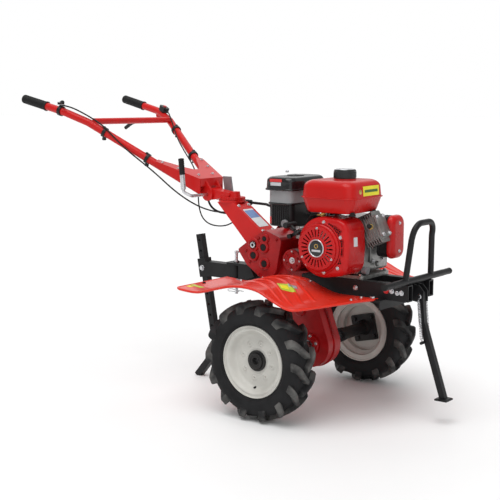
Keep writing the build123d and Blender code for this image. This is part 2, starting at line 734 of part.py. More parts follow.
with BuildPart() as hitch_pins:
    with BuildSketch(Plane.XY.offset(336)):
        with Locations((HITCH_X, 0)):
            Circle(PIN_R)
    extrude(amount=494 - 336)
    with BuildSketch(Plane.XY.offset(HITCH_HIGH + 8 + GAP)):
        with Locations((HITCH_X, 0)):
            Circle(11)
    extrude(amount=6)
    with BuildSketch(upright(-20)):
        with Locations((on_stake(421)[0], 421)):
            RegularPolygon(8, 6)
    extrude(amount=7)
finish(hitch_pins, "hitch_pins")

with BuildPart() as stake:
    with BuildLine() as stake_path:
        FilletPolyline((STAKE_TOP[0], 0, STAKE_TOP[1]), (STAKE_HEEL[0], 0, STAKE_HEEL[1]),
                       (STAKE_TIP[0] - 6, 0, STAKE_TIP[1] - 12), radius=22)
    with BuildSketch(Plane(origin=stake_path.line @ 0, x_dir=(0, 1, 0), z_dir=stake_path.line % 0)):
        Rectangle(STAKE, STAKE)
        Rectangle(STAKE - 6, STAKE - 6, mode=Mode.SUBTRACT)
    sweep()
    with BuildSketch(upright(STAKE)):
        for number in range(9):
            with Locations((on_stake(STAKE_TOP[1] - 22 - 40 * number)[0], STAKE_TOP[1] - 22 - 40 * number)):
                Circle(4.5)
    extrude(amount=2 * STAKE, mode=Mode.SUBTRACT)
    with BuildSketch(Plane.XY):
        with Locations((STAKE_TIP[0], 0)):
            Rectangle(200, 200)
    extrude(amount=-60, mode=Mode.SUBTRACT)
finish(stake, "stake")

# Handle column, swivel head and lock lever -----------------------------------------------------------
COLUMN = [(-268, 528), (-412, 676), (-334, 676), (-196, 572)]
COLUMN_HALF = 40
with BuildPart() as handle_column:
    with BuildSketch(Plane.XZ):
        with BuildLine():
            Polyline(*COLUMN, close=True)
        make_face()
    extrude(amount=COLUMN_HALF, both=True)
    with BuildSketch(Plane.XZ):
        with BuildLine():
            Polyline((-250, 522), (-404, 672), (-336, 672), (-190, 562), close=True)
        make_face()
    extrude(amount=COLUMN_HALF - 4, both=True, mode=Mode.SUBTRACT)
    with BuildSketch(upright(COLUMN_HALF + 10)):
        add(box_outline)
    extrude(amount=2 * COLUMN_HALF + 20, mode=Mode.SUBTRACT)
    with BuildSketch(Plane.XY.offset(SWIVEL_Z - 8)):
        with Locations((SWIVEL_X, 0)):
            Circle(50)
    extrude(amount=8)
    with BuildSketch(Plane.XY.offset(SWIVEL_Z - 20)):
        with Locations((SWIVEL_X, 0)):
            Circle(10 + RUN)
    extrude(amount=40, mode=Mode.SUBTRACT)
finish(handle_column, "handle_column")

LUG_HALF = 25
with BuildPart() as swivel_head:
    with BuildSketch(Plane.XY.offset(SWIVEL_Z + GAP)):
        with Locations((SWIVEL_X, 0)):
            Circle(46)
    extrude(amount=10)
    with BuildSketch(Plane.XY.offset(SWIVEL_Z - 16)):
        with Locations((SWIVEL_X, 0)):
            Circle(10)
    extrude(amount=18)
    with BuildSketch(Plane.XY.offset(SWIVEL_Z + 8)):
        with Locations((SWIVEL_X + 12, 0)):
            Circle(22)
    extrude(amount=22, taper=8)
    with BuildSketch(upright(LUG_HALF)):
        add(wrap((TILT, 22), ((-376, 702), 8)))
    extrude(amount=2 * LUG_HALF)
    with BuildSketch(upright(44)):
        with BuildLine():
            Polyline((-436, 692), (-448, 764), (-412, 764), (-400, 692), close=True)
        make_face()
    extrude(amount=6)
    with BuildSketch(upright(44)):
        with Locations((-418, 696)):
            Rectangle(30, 8)
    extrude(amount=44 - LUG_HALF + 2)
    with BuildSketch(upright(50)):
        with Locations(TILT):
            Circle(6 + RUN)
    extrude(amount=100, mode=Mode.SUBTRACT)
finish(swivel_head, "swivel_head")

lock_rod = bent_tube([(TILT[0], 46, TILT[1]), (TILT[0], -122, TILT[1]), (TILT[0] - 22, -140, TILT[1] + 14),
                      (TILT[0] - 26, -142, TILT[1] + 78)], [14, 12], 6)
with BuildPart() as swivel_lock:
    add(lock_rod.part)
    with BuildSketch(Plane(origin=(TILT[0] - 26, -142, TILT[1] + 80), z_dir=(4, 2, -64))):
        Circle(9)
    extrude(amount=56, taper=-1)
    fillet(swivel_lock.edges().group_by(Axis.Z)[-1], 4)
finish(swivel_lock, "swivel_lock")

# Handlebar ---------------------------------------------------------------------------------------------
ARM = [Vector(-1176, 276, 1049), Vector(-975, 262, 1001), Vector(-880, 228, 962), Vector(-486, 44, 712)]
CROSSBAR = (-866, 966)
GUSSET_FRONT = (-471, 759)
GUSSET_REAR = (-640, 826)
CHEEK_Y = LUG_HALF + GAP
LEVER_PIVOT = (-962, 968)


def on_arm(first, x):
    """Point on the run of the left arm that starts at the given corner, at x."""
    share = (x - ARM[first].X) / (ARM[first + 1].X - ARM[first].X)
    return ARM[first] + (ARM[first + 1] - ARM[first]) * share


arm_tube = bent_tube([tuple(p) for p in ARM], [90, 90], TUBE_R, TUBE_R - 2)
with BuildPart() as gusset:
    with BuildSketch(Plane.XY.offset(640)):
        with BuildLine():
            Polyline((GUSSET_FRONT[0], 0), (GUSSET_FRONT[0], 66), (-628, 134), (-640, 106), (-566, 40),
                     (-548, 16), (-545, 0), close=True)
        make_face()
    extrude(amount=220)
    with BuildSketch(Plane.XZ):
        with BuildLine():
            Polyline((GUSSET_FRONT[0] + 8, GUSSET_FRONT[1] - 7), (GUSSET_REAR[0], GUSSET_REAR[1] - 4), GUSSET_REAR,
                     (GUSSET_FRONT[0] + 8, GUSSET_FRONT[1] - 3), close=True)
        make_face()
    extrude(amount=-150, mode=Mode.INTERSECT)
    with BuildSketch(Plane(origin=(GUSSET_FRONT[0], 66, 0), x_dir=(-157, 68, 0), z_dir=(68, 157, 0))):
        with BuildLine():
            Polyline((0, GUSSET_FRONT[1] - 4), (171, 820), (171, 802), (0, 700), close=True)
        make_face()
    extrude(amount=-4)
    with BuildSketch(Plane.XZ):
        with Locations((GUSSET_FRONT[0] - 2, 744)):
            Rectangle(4, 28)
    extrude(amount=-64)
    with BuildSketch(upright(CHEEK_Y + 9)):
        add(wrap((TILT, 24), ((-488, 716), 14), ((-476, 750), 4)))
    extrude(amount=9)
with BuildPart() as handlebar:
    add(arm_tube.part)
    add(gusset.part)
    with BuildSketch(Plane.XZ):
        with Locations(CROSSBAR):
            Circle(12)
    extrude(amount=-212)
    with BuildSketch(upright(50)):
        with Locations(TILT):
            Circle(6 + RUN)
    extrude(amount=50, mode=Mode.SUBTRACT)
    mirror(about=Plane.XZ)
    for side in (-1, 1):
        with BuildSketch(upright(262 + side * 8.5 + 2)):
            add(wrap((LEVER_PIVOT, 9), ((LEVER_PIVOT[0] - 4, 984), 12)))
            with Locations(LEVER_PIVOT):
                Circle(4 + RUN, mode=Mode.SUBTRACT)
        extrude(amount=4)
finish(handlebar, "handlebar")

with BuildPart() as grips:
    for side in (-1, 1):
        end = Vector(ARM[0].X, side * ARM[0].Y, ARM[0].Z)
        inward = Vector(ARM[1].X, side * ARM[1].Y, ARM[1].Z) - end
        with BuildSketch(Plane(origin=end - inward.normalized() * 5, z_dir=inward)):
            Circle(GRIP_R)
        extrude(amount=122)
        with BuildSketch(Plane(origin=end, z_dir=inward)):
            Circle(TUBE_R + RUN)
        extrude(amount=120, mode=Mode.SUBTRACT)
finish(grips, "grips")

lever_bar = bent_tube([(LEVER_PIVOT[0] + 20, 262, LEVER_PIVOT[1] + 3), (-1022, 262, 956), (-1120, 262, 954),
                       (-1163, 262, 929)], [60, 30], 5)
with BuildPart() as clutch_lever:
    add(lever_bar.part)
    with BuildSketch(upright(262 + 10)):
        with Locations(LEVER_PIVOT):
            Circle(4)
    extrude(amount=20)
    with BuildSketch(upright(262 + 6)):
        with Locations(LEVER_PIVOT):
            Circle(9)
    extrude(amount=12)
finish(clutch_lever, "clutch_lever")

THROTTLE = Vector(-990, -263, 1028)
with BuildPart() as throttle_lever:
    with BuildSketch(Plane.XY.offset(THROTTLE.Z + GAP)):
        with Locations((THROTTLE.X, THROTTLE.Y)):
            Circle(13)
    extrude(amount=8)
    with BuildSketch(Plane.XY.offset(THROTTLE.Z + 6)):
        with Locations(Location((THROTTLE.X, THROTTLE.Y), -35)):
            with Locations((22, 0)):
                RectangleRounded(44, 10, 4)
    extrude(amount=7)
finish(throttle_lever, "throttle_lever")


def collar(first, x, side, outer, width):
    """Ring clamped round one arm of the handlebar."""
    here = on_arm(first, x)
    along_arm = ARM[first + 1] - ARM[first]
    middle = Vector(here.X, side * here.Y, here.Z)
    heading = Vector(along_arm.X, side * along_arm.Y, along_arm.Z)
    with BuildPart() as ring:
        with BuildSketch(Plane(origin=middle, z_dir=heading)):
            Circle(outer)
            Circle(TUBE_R + RUN, mode=Mode.SUBTRACT)
        extrude(amount=width / 2, both=True)
    return ring


throttle_ring = collar(0, THROTTLE.X, -1, 19, 14)
clip_rings = [collar(2, x, side, 19, 12) for x in (-822, -672) for side in (-1, 1)]
with BuildPart() as bar_clips:
    add(throttle_ring.part)
    with BuildSketch(Plane.XY.offset(THROTTLE.Z - 6)):
        with Locations((THROTTLE.X, THROTTLE.Y)):
            Circle(7)
        with Locations((THROTTLE.X + 9, THROTTLE.Y)):
            Rectangle(18, 10)
    extrude(amount=5.5)
    for ring in clip_rings:
        add(ring.part)
finish(bar_clips, "bar_clips")

box_at = on_arm(1, -940)
box_dir = (ARM[2] - ARM[1]).normalized()
box_up = box_dir.cross(Vector(0, 1, 0)).normalized()
if box_up.Z < 0:
    box_up = box_up * -1
box_plane = Plane(origin=box_at + box_up * (TUBE_R + 0.2), x_dir=box_dir, z_dir=box_up)
with BuildPart() as switch_box:
    with BuildSketch(box_plane):
        RectangleRounded(40, 28, 5)
    extrude(amount=20)
    with BuildSketch(box_plane.offset(14)):
        Circle(7 + GAP)
    extrude(amount=10, mode=Mode.SUBTRACT)
finish(switch_box, "switch_box")

with BuildPart() as stop_button:
    with BuildSketch(box_plane.offset(17)):
        Circle(7)
    extrude(amount=7)
finish(stop_button, "stop_button")
BUTTON_AXIS = box_up

# Cables: from the handlebar's controls to the grommets in the back of the column ---------------------------
CLUTCH_ROUTE = [(-938, 262, 971), (-905, 252, 949), (-850, 228, 921), (-775, 192, 873), (-700, 157, 826),
                (-628, 120, 776), (-566, 80, 724), (-528, 44, 680), (-496, 20, 650), (-452, 10, 632),
                (-408, 10, 630), (-366, 10, 633)]
THROTTLE_ROUTE = [(-971, -262, 1024), (-934, -256, 1017), (-884, -238, 992), (-827, -211, 956), (-787, -206, 922),
                  (-742, -188, 868), (-692, -152, 812), (-642, -120, 766), (-592, -92, 722), (-545, -66, 682),
                  (-500, -40, 653), (-455, -22, 638), (-411, -12, 635), (-368, -8, 638)]
SWITCH_ROUTE = [(-912, 243, 1001), (-886, 226, 996), (-856, 200, 985), (-826, 186, 948), (-786, 161, 902),
                (-740, 140, 863), (-690, 116, 828), (-640, 94, 794), (-592, 60, 752), (-556, 24, 708),
                (-530, -8, 662), (-504, -24, 616), (-466, -30, 590), (-418, -28, 584), (-376, -26, 590),
                (-340, -24, 605)]


def column_back(point):
    """The same point slid along X onto the back face of the column."""
    share = (point[2] - COLUMN[0][1]) / (COLUMN[1][1] - COLUMN[0][1])
    return (COLUMN[0][0] + (COLUMN[1][0] - COLUMN[0][0]) * share - 6, point[1], point[2])


def cable(name, route, radius):
    """Round cable on straight runs joined by tangent arcs."""
    points = [Vector(*p) for p in route]
    bends = []
    for before, here, after in zip(points, points[1:], points[2:]):
        turn = radians((here - before).get_angle(after - here))
        shorter = min((here - before).length, (after - here).length)
        bends.append(0.45 * shorter / tan(turn / 2))
    tube = bent_tube([tuple(p) for p in points], bends, radius)
    runs = [(b - a).length for a, b in zip(points, points[1:])]
    print(name, "shortest bend", round(min(bends)), "runs", round(min(runs)), round(max(runs)),
          "length", round(tube.part.volume / (pi * radius ** 2)))
    finish(tube, name)


for name, route, radius in (("clutch_cable", CLUTCH_ROUTE, 4), ("throttle_cable", THROTTLE_ROUTE, 2.75),
                            ("switch_wire", SWITCH_ROUTE, 2.5)):
    route[-1] = column_back(route[-1])
    cable(name, route, radius)

LEVER_FOOT = (-166, 50, 596)
gear_rod = bent_tube([LEVER_FOOT, (-196, 54, 652), (-262, 60, 668), (-338, 66, 670)], [30, 30], 5)
with BuildPart() as gear_lever:
    add(gear_rod.part)
    with BuildSketch(Plane(origin=(-336, 66, 670), z_dir=(-1, 0, 0))):
        Circle(10)
    extrude(amount=34, taper=-2)
    fillet(gear_lever.edges().group_by(Axis.X)[0], 6)
    with BuildSketch(upright(56)):
        with Locations((LEVER_FOOT[0], LEVER_FOOT[2] + 14)):
            Circle(10)
    extrude(amount=12)
    with BuildSketch(upright(60)):
        with Locations((LEVER_FOOT[0], LEVER_FOOT[2] + 14)):
            Circle(4)
    extrude(amount=10)
finish(gear_lever, "gear_lever")

# Engine --------------------------------------------------------------------------------------------------
CRANK_R = 13
BLOCK_RIGHT = -75
BLOCK_LEFT = 100
BLOCK_TOP = 640
HEAD_TILT = 25
head_plane = Plane(origin=(ENGINE[0] + 104 * cos(radians(HEAD_TILT)), -42, ENGINE[1] + 104 * sin(radians(HEAD_TILT))),
                   x_dir=(0, 1, 0), z_dir=(cos(radians(HEAD_TILT)), 0, sin(radians(HEAD_TILT))))
with BuildPart() as crankcase:
    with BuildSketch(Plane.XY.offset(BED_TOP)):
        with Locations((134, (BLOCK_RIGHT + BLOCK_LEFT) / 2)):
            RectangleRounded(206, BLOCK_LEFT - BLOCK_RIGHT, 14)
    extrude(amount=12)
    with BuildSketch(upright(BLOCK_LEFT)):
        add(wrap((ENGINE, 92), ((60, 490), 16), ((208, 490), 16), ((208, 610), 20)))
    extrude(amount=BLOCK_LEFT - BLOCK_RIGHT)
    with BuildSketch(upright(BLOCK_LEFT - 10)):
        with Locations(ENGINE):
            Circle(62)
    extrude(amount=BLOCK_LEFT - BLOCK_RIGHT - 20, mode=Mode.SUBTRACT)
    with BuildSketch(upright(BLOCK_LEFT + 20)):
        with Locations(ENGINE):
            Circle(CRANK_R + RUN)
    extrude(amount=300, mode=Mode.SUBTRACT)
    with BuildSketch(head_plane):
        with Locations((0, 60)):
            Rectangle(300, 400)
    extrude(amount=200, mode=Mode.SUBTRACT)
    with BuildSketch(Plane.XY.offset(632)):
        with Locations((80, -55), (80, 5), (160, -20)):
            Circle(9)
    extrude(amount=680 - 632)
finish(crankcase, "crankcase")

with BuildPart() as crankshaft:
    with BuildSketch(upright(BELT_Y + 14)):
        with Locations(ENGINE):
            Circle(CRANK_R)
    extrude(amount=BELT_Y + 14 + 166)
    for y in (44, -16):
        with BuildSketch(upright(y)):
            add(wrap((ENGINE, 22), ((ENGINE[0] - 20, ENGINE[1] - 20), 30)))
        extrude(amount=12)
    with BuildSketch(upright(-118)):
        with Locations(ENGINE):
            Circle(84)
    extrude(amount=26)
finish(crankshaft, "crankshaft")

FINS = 7
with BuildPart() as cylinder_head:
    with BuildSketch(head_plane.offset(0.1)):
        RectangleRounded(48, 84, 10)
    extrude(amount=66)
    for number in range(FINS):
        with BuildSketch(head_plane.offset(4 + number * 9)):
            RectangleRounded(54, 108, 8)
        extrude(amount=3)
    with BuildSketch(head_plane.offset(64)):
        RectangleRounded(56, 76, 8)
    extrude(amount=8)
finish(cylinder_head, "cylinder_head")

SHROUD_FRONT = -180
SHROUD_R = 100
SHROUD_AT = (143, 568)
GRILLE_R = 72
shroud_circles = [(SHROUD_AT, SHROUD_R), ((196, 520), 44), ((196, 620), 44)]
shroud_inner = [(SHROUD_AT, SHROUD_R - 3), ((196, 520), 41), ((196, 620), 41)]
with BuildPart() as shroud_hollow:
    with BuildSketch(upright(BLOCK_RIGHT + 10)):
        add(wrap(*shroud_inner))
    extrude(amount=BLOCK_RIGHT + 10 - SHROUD_FRONT - 3)
    fillet(shroud_hollow.edges().group_by(Axis.Y)[0], 11)
with BuildPart() as fan_shroud:
    with BuildSketch(upright(BLOCK_RIGHT - 0.1)):
        add(wrap(*shroud_circles))
    extrude(amount=BLOCK_RIGHT - 0.1 - SHROUD_FRONT)
    fillet(fan_shroud.edges().group_by(Axis.Y)[0], 14)
    add(shroud_hollow.part, mode=Mode.SUBTRACT)
    with BuildSketch(upright(0)):
        with Locations(ENGINE):
            Circle(GRILLE_R - 6)
    extrude(amount=300, mode=Mode.SUBTRACT)
finish(fan_shroud, "fan_shroud")

SLOTS = 26
with BuildPart() as recoil_cover:
    with BuildSketch(upright(SHROUD_FRONT - 0.1)):
        with Locations(ENGINE):
            Circle(GRILLE_R)
            Circle(GRILLE_R - 5, mode=Mode.SUBTRACT)
    extrude(amount=12)
    with BuildSketch(upright(SHROUD_FRONT - 9)):
        with Locations(ENGINE):
            Circle(GRILLE_R)
            with PolarLocations(50, SLOTS):
                Rectangle(24, 4.5, mode=Mode.SUBTRACT)
    extrude(amount=4)
    with BuildSketch(upright(SHROUD_FRONT - 12)):
        with Locations(ENGINE):
            Circle(31)
    extrude(amount=4)
finish(recoil_cover, "recoil_cover")

PULL_DIR = (-0.8, 0, 0.6)
with BuildPart() as recoil_handle:
    with BuildSketch(upright(-153)):
        with Locations((16, 634)):
            Circle(9)
    extrude(amount=56)
    with BuildSketch(Plane(origin=(16, -181, 634), z_dir=(0.8, 0, -0.6))):
        Circle(5.5)
    extrude(amount=24)
finish(recoil_handle, "recoil_handle")

TANK = (154, -78)
TANK_X = 196
TANK_Y = 204
TANK_LOW = 680
TANK_SEAM = 730
TANK_HIGH = 786
CAP_AT = (155, -64)
with BuildPart() as fuel_tank:
    for inset, mode in ((0, Mode.ADD), (2.5, Mode.SUBTRACT)):
        with BuildSketch(Plane.XY.offset(TANK_LOW + inset)):
            with Locations(TANK):
                RectangleRounded(TANK_X - 24 - 2 * inset, TANK_Y - 24 - 2 * inset, 24)
        with BuildSketch(Plane.XY.offset(TANK_SEAM)):
            with Locations(TANK):
                RectangleRounded(TANK_X - 2 * inset, TANK_Y - 2 * inset, 34)
        loft(mode=mode)
        with BuildSketch(Plane.XY.offset(TANK_SEAM)):
            with Locations(TANK):
                RectangleRounded(TANK_X - 2 * inset, TANK_Y - 2 * inset, 34)
        with BuildSketch(Plane.XY.offset(TANK_HIGH - 14 - inset)):
            with Locations(TANK):
                RectangleRounded(TANK_X - 8 - 2 * inset, TANK_Y - 8 - 2 * inset, 32)
        with BuildSketch(Plane.XY.offset(TANK_HIGH - inset)):
            with Locations(TANK):
                RectangleRounded(TANK_X - 44 - 2 * inset, TANK_Y - 44 - 2 * inset, 26)
        loft(ruled=True, mode=mode)
        if mode == Mode.ADD:
            with BuildSketch(Plane.XY.offset(TANK_SEAM - 1.5)):
                with Locations(TANK):
                    RectangleRounded(TANK_X + 8, TANK_Y + 8, 36)
            extrude(amount=3)
            with BuildSketch(Plane.XY.offset(TANK_HIGH - 6)):
                with Locations(CAP_AT):
                    Circle(25)
            extrude(amount=18)
    with BuildSketch(Plane.XY.offset(TANK_HIGH - 20)):
        with Locations(CAP_AT):
            Circle(21)
    extrude(amount=60, mode=Mode.SUBTRACT)
finish(fuel_tank, "fuel_tank")

CAP_R = 37
with BuildPart() as fuel_cap:
    with BuildSketch(Plane.XY.offset(TANK_HIGH + 2)):
        with Locations(CAP_AT):
            Circle(CAP_R)
    extrude(amount=30)
    fillet(fuel_cap.edges().group_by(Axis.Z)[-1], 5)
    with BuildSketch(Plane.XY.offset(TANK_HIGH + 2)):
        with Locations(CAP_AT):
            Circle(25 + GAP)
    extrude(amount=11, mode=Mode.SUBTRACT)
finish(fuel_cap, "fuel_cap")

FILTER = (-58, -45)
FILTER_X = 112
FILTER_Y = 206
BOWL_LOW = 620
RING_LOW = 700
LID_LOW = 745
LID_HIGH = 788
with BuildPart() as air_cleaner_base:
    with BuildSketch(Plane.XY.offset(BOWL_LOW)):
        with Locations(FILTER):
            RectangleRounded(FILTER_X - 16, FILTER_Y - 16, 26)
    extrude(amount=RING_LOW - BOWL_LOW)
    with BuildSketch(Plane.XY.offset(BOWL_LOW + 4)):
        with Locations(FILTER):
            RectangleRounded(FILTER_X - 22, FILTER_Y - 22, 23)
    extrude(amount=100, mode=Mode.SUBTRACT)
    with BuildSketch(Plane.XY.offset(BOWL_LOW)):
        with Locations((FILTER[0], FILTER[1] - 50)):
            Circle(4)
    extrude(amount=LID_LOW - BOWL_LOW)
finish(air_cleaner_base, "air_cleaner_base")

with BuildPart() as filter_ring:
    with BuildSketch(Plane.XY.offset(RING_LOW)):
        with Locations(FILTER):
            RectangleRounded(FILTER_X - 8, FILTER_Y - 8, 30)
            RectangleRounded(FILTER_X - 22, FILTER_Y - 22, 23, mode=Mode.SUBTRACT)
    extrude(amount=LID_LOW - RING_LOW)
finish(filter_ring, "filter_ring")

with BuildPart() as air_cleaner_cover:
    with BuildSketch(Plane.XY.offset(LID_LOW)):
        with Locations(FILTER):
            RectangleRounded(FILTER_X + 8, FILTER_Y + 8, 30)
    extrude(amount=LID_HIGH - LID_LOW)
    fillet(air_cleaner_cover.edges().group_by(Axis.Z)[-1], 8)
    with BuildSketch(Plane.XY.offset(LID_HIGH)):
        with Locations((FILTER[0], FILTER[1] - 50)):
            Circle(8)
            Rectangle(34, 5)
    extrude(amount=14)
finish(air_cleaner_cover, "air_cleaner_cover")

CHOKE_PIVOT = (-12, 598)
with BuildPart() as carburettor:
    with BuildSketch(Plane.XY.offset(578)):
        with Locations((0, -70)):
            RectangleRounded(44, 56, 8)
    extrude(amount=BOWL_LOW - 578)
    with BuildSketch(Plane.XY.offset(560)):
        with Locations((0, -70)):
            Circle(18)
    extrude(amount=20)
    with BuildSketch(Plane.YZ.offset(0)):
        with Locations((-57, 600)):
            Circle(16)
    extrude(amount=60)
    with BuildSketch(upright(BLOCK_LEFT)):
        add(wrap((ENGINE, 92), ((60, 490), 16), ((208, 490), 16), ((208, 610), 20)))
    extrude(amount=BLOCK_LEFT - BLOCK_RIGHT, mode=Mode.SUBTRACT)
    with BuildSketch(upright(-80)):
        with Locations(CHOKE_PIVOT):
            Circle(3 + RUN)
    extrude(amount=40, mode=Mode.SUBTRACT)
finish(carburettor, "carburettor")

with BuildPart() as choke_lever:
    with BuildSketch(upright(-98 - GAP)):
        add(wrap((CHOKE_PIVOT, 7), ((CHOKE_PIVOT[0] - 26, CHOKE_PIVOT[1] - 14), 5)))
    extrude(amount=4)
    with BuildSketch(upright(-82)):
        with Locations(CHOKE_PIVOT):
            Circle(3)
    extrude(amount=18)
    with BuildSketch(upright(-100)):
        with Locations((CHOKE_PIVOT[0] - 26, CHOKE_PIVOT[1] - 14)):
            Circle(8)
    extrude(amount=12)
finish(choke_lever, "choke_lever")

MUFFLER = (265, 28, 595)
with BuildPart() as muffler:
    with BuildSketch(Plane.YZ.offset(MUFFLER[0] - 17)):
        with Locations((MUFFLER[1], MUFFLER[2])):
            RectangleRounded(76, 136, 20)
    extrude(amount=34)
    with BuildSketch(Plane.YZ.offset(200)):
        with Locations((MUFFLER[1] + 6, MUFFLER[2] - 10)):
            Circle(14)
    extrude(amount=60)
    with BuildSketch(upright(BLOCK_LEFT)):
        add(wrap((ENGINE, 92), ((60, 490), 16), ((208, 490), 16), ((208, 610), 20)))
    extrude(amount=BLOCK_LEFT - BLOCK_RIGHT, mode=Mode.SUBTRACT)
finish(muffler, "muffler")

with BuildPart() as muffler_guard:
    with BuildSketch(Plane.YZ.offset(MUFFLER[0] + 17)):
        with Locations((MUFFLER[1], MUFFLER[2])):
            RectangleRounded(84, 144, 24)
    extrude(amount=30)
    fillet(muffler_guard.edges().group_by(Axis.X)[-1], 16)
    with BuildSketch(Plane.YZ.offset(MUFFLER[0] + 17)):
        with Locations((MUFFLER[1], MUFFLER[2])):
            RectangleRounded(80, 140, 22)
    extrude(amount=16, mode=Mode.SUBTRACT)
finish(muffler_guard, "muffler_guard")

with BuildPart() as frame_bolts:
    for side in (-1, 1):
        for x in (40, 228):
            with BuildSketch(Plane.XY.offset(BED_TOP + 12)):
                with Locations((x + (6 if x < 100 else -6), 12.5 + side * 78)):
                    RegularPolygon(7, 6)
            extrude(amount=6)
        for x, y in ((302, 122), (-250, 124)):
            with BuildSketch(Plane.XY.offset(fender_height(x) + FENDER_T + 0.6)):
                with Locations((x, side * y)):
                    RegularPolygon(8, 6)
            extrude(amount=6)
finish(frame_bolts, "frame_bolts")
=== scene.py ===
from math import acos, atan2, cos, hypot, pi, radians, sin

import bmesh
import bpy
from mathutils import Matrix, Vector, noise


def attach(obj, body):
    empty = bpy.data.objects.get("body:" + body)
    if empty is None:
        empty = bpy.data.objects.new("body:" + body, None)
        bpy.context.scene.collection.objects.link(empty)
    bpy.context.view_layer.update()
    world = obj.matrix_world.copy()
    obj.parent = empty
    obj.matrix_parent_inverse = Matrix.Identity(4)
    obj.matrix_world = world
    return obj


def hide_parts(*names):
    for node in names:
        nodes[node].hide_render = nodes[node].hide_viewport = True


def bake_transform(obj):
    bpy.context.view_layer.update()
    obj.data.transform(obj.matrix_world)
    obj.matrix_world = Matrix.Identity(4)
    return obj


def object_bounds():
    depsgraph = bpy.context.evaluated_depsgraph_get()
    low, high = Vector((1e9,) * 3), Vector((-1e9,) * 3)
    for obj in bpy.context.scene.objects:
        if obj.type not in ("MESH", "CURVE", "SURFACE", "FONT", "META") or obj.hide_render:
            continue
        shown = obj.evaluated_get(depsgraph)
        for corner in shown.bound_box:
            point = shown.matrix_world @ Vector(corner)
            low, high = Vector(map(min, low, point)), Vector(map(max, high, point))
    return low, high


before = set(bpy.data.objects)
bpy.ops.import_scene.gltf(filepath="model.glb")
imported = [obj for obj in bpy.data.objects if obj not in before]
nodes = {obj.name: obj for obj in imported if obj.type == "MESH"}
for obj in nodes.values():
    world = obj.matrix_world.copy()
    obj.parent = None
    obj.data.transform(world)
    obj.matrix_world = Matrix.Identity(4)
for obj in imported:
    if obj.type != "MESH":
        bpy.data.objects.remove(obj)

cad_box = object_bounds()
AXLE_X = 329.5      # the axle's place along the machine, in mm from the frame's origin
AHEAD = (1, 0, 0)
LEFT = (0, 1, 0)
RIGHT = (0, -1, 0)
UP = (0, 0, 1)
AXLE_Z = 200
WHEEL_Y = 325       # the middle of each tyre
DIMPLES = 8
LUGS = 14           # in each of a tyre's two rows
CRANK_X = 132       # the crankshaft's line, round which the shroud's drum stands
CRANK_Z = 566
SHROUD_FACE = -180.3


def at(x, y, z):
    """Point given in millimetres from the ground under the axle, in metres in the machine's frame."""
    return Vector(((x + AXLE_X) / 1000, y / 1000, z / 1000))


# Camera
camera = bpy.data.objects.new("camera", bpy.data.cameras.new("camera"))
bpy.context.scene.collection.objects.link(camera)
camera.location = at(2075, -3068, 1038)
camera.rotation_euler = (radians(82.15), 0, radians(37.64))
camera.data.sensor_width = 36
camera.data.lens = 77.3
bpy.context.scene.camera = camera


# Materials
def noise_field(tree, vector, scale, detail):
    made = tree.nodes.new("ShaderNodeTexNoise")
    made.inputs["Scale"].default_value = scale
    made.inputs["Detail"].default_value = detail
    tree.links.new(vector, made.inputs["Vector"])
    return made.outputs["Fac"]


def material(name, base, rough, metal=0.0, coat=0.0, spread=0.12, grain=35, bump=0.1, fine=450, dust=0.0,
             dust_colour=(0.30, 0.27, 0.22), streak=0.0, edge=0.0012, clear=0.0, spec=0.35):
    """Base colour and roughness clouded at grain, patches of dust, and a fine bump; edge rounds in metres."""
    rough_spread = 0.06
    made = bpy.data.materials.new(name)
    made.use_nodes = True
    tree = made.node_tree
    link = tree.links.new
    shader = tree.nodes["Principled BSDF"]
    place = tree.nodes.new("ShaderNodeTexCoord")
    stretch = tree.nodes.new("ShaderNodeMapping")
    stretch.inputs["Scale"].default_value = (1, 1, 1 + streak)
    link(place.outputs["Object"], stretch.inputs["Vector"])
    cloud = noise_field(tree, stretch.outputs["Vector"], grain, 6)
    colours = tree.nodes.new("ShaderNodeValToRGB")
    colours.color_ramp.elements[0].position = 0.32
    colours.color_ramp.elements[1].position = 0.68
    colours.color_ramp.elements[0].color = [c * (1 - spread) for c in base] + [1]
    colours.color_ramp.elements[1].color = [min(1, c * (1 + spread)) for c in base] + [1]
    link(cloud, colours.inputs["Fac"])
    final = colours.outputs["Color"]
    if dust:
        patch = noise_field(tree, place.outputs["Object"], 14, 8)
        amount = tree.nodes.new("ShaderNodeMapRange")
        amount.inputs["From Min"].default_value = 0.42
        amount.inputs["From Max"].default_value = 0.75
        amount.inputs["To Max"].default_value = dust
        link(patch, amount.inputs["Value"])
        blend = tree.nodes.new("ShaderNodeMix")
        blend.data_type = "RGBA"
        link(amount.outputs["Result"], blend.inputs["Factor"])
        link(final, blend.inputs["A"])
        blend.inputs["B"].default_value = (*dust_colour, 1)
        final = blend.outputs["Result"]
    link(final, shader.inputs["Base Color"])
    gloss = tree.nodes.new("ShaderNodeMapRange")
    gloss.inputs["To Min"].default_value = max(0.02, rough - rough_spread)
    gloss.inputs["To Max"].default_value = min(1, rough + rough_spread)
    link(cloud, gloss.inputs["Value"])
    link(gloss.outputs["Result"], shader.inputs["Roughness"])
    shader.inputs["Metallic"].default_value = metal
    shader.inputs["Coat Weight"].default_value = coat
    shader.inputs["Coat Roughness"].default_value = 0.08
    shader.inputs["Transmission Weight"].default_value = clear
    shader.inputs["Specular IOR Level"].default_value = spec
    relief = noise_field(tree, place.outputs["Object"], fine, 4)
    bumps = tree.nodes.new("ShaderNodeBump")
    bumps.inputs["Strength"].default_value = bump
    bumps.inputs["Distance"].default_value = 0.0006
    link(relief, bumps.inputs["Height"])
    if edge:
        soft_edge = tree.nodes.new("ShaderNodeBevel")
        soft_edge.samples = 4
        soft_edge.inputs["Radius"].default_value = edge
        link(soft_edge.outputs["Normal"], bumps.inputs["Normal"])
    link(bumps.outputs["Normal"], shader.inputs["Normal"])
    return made


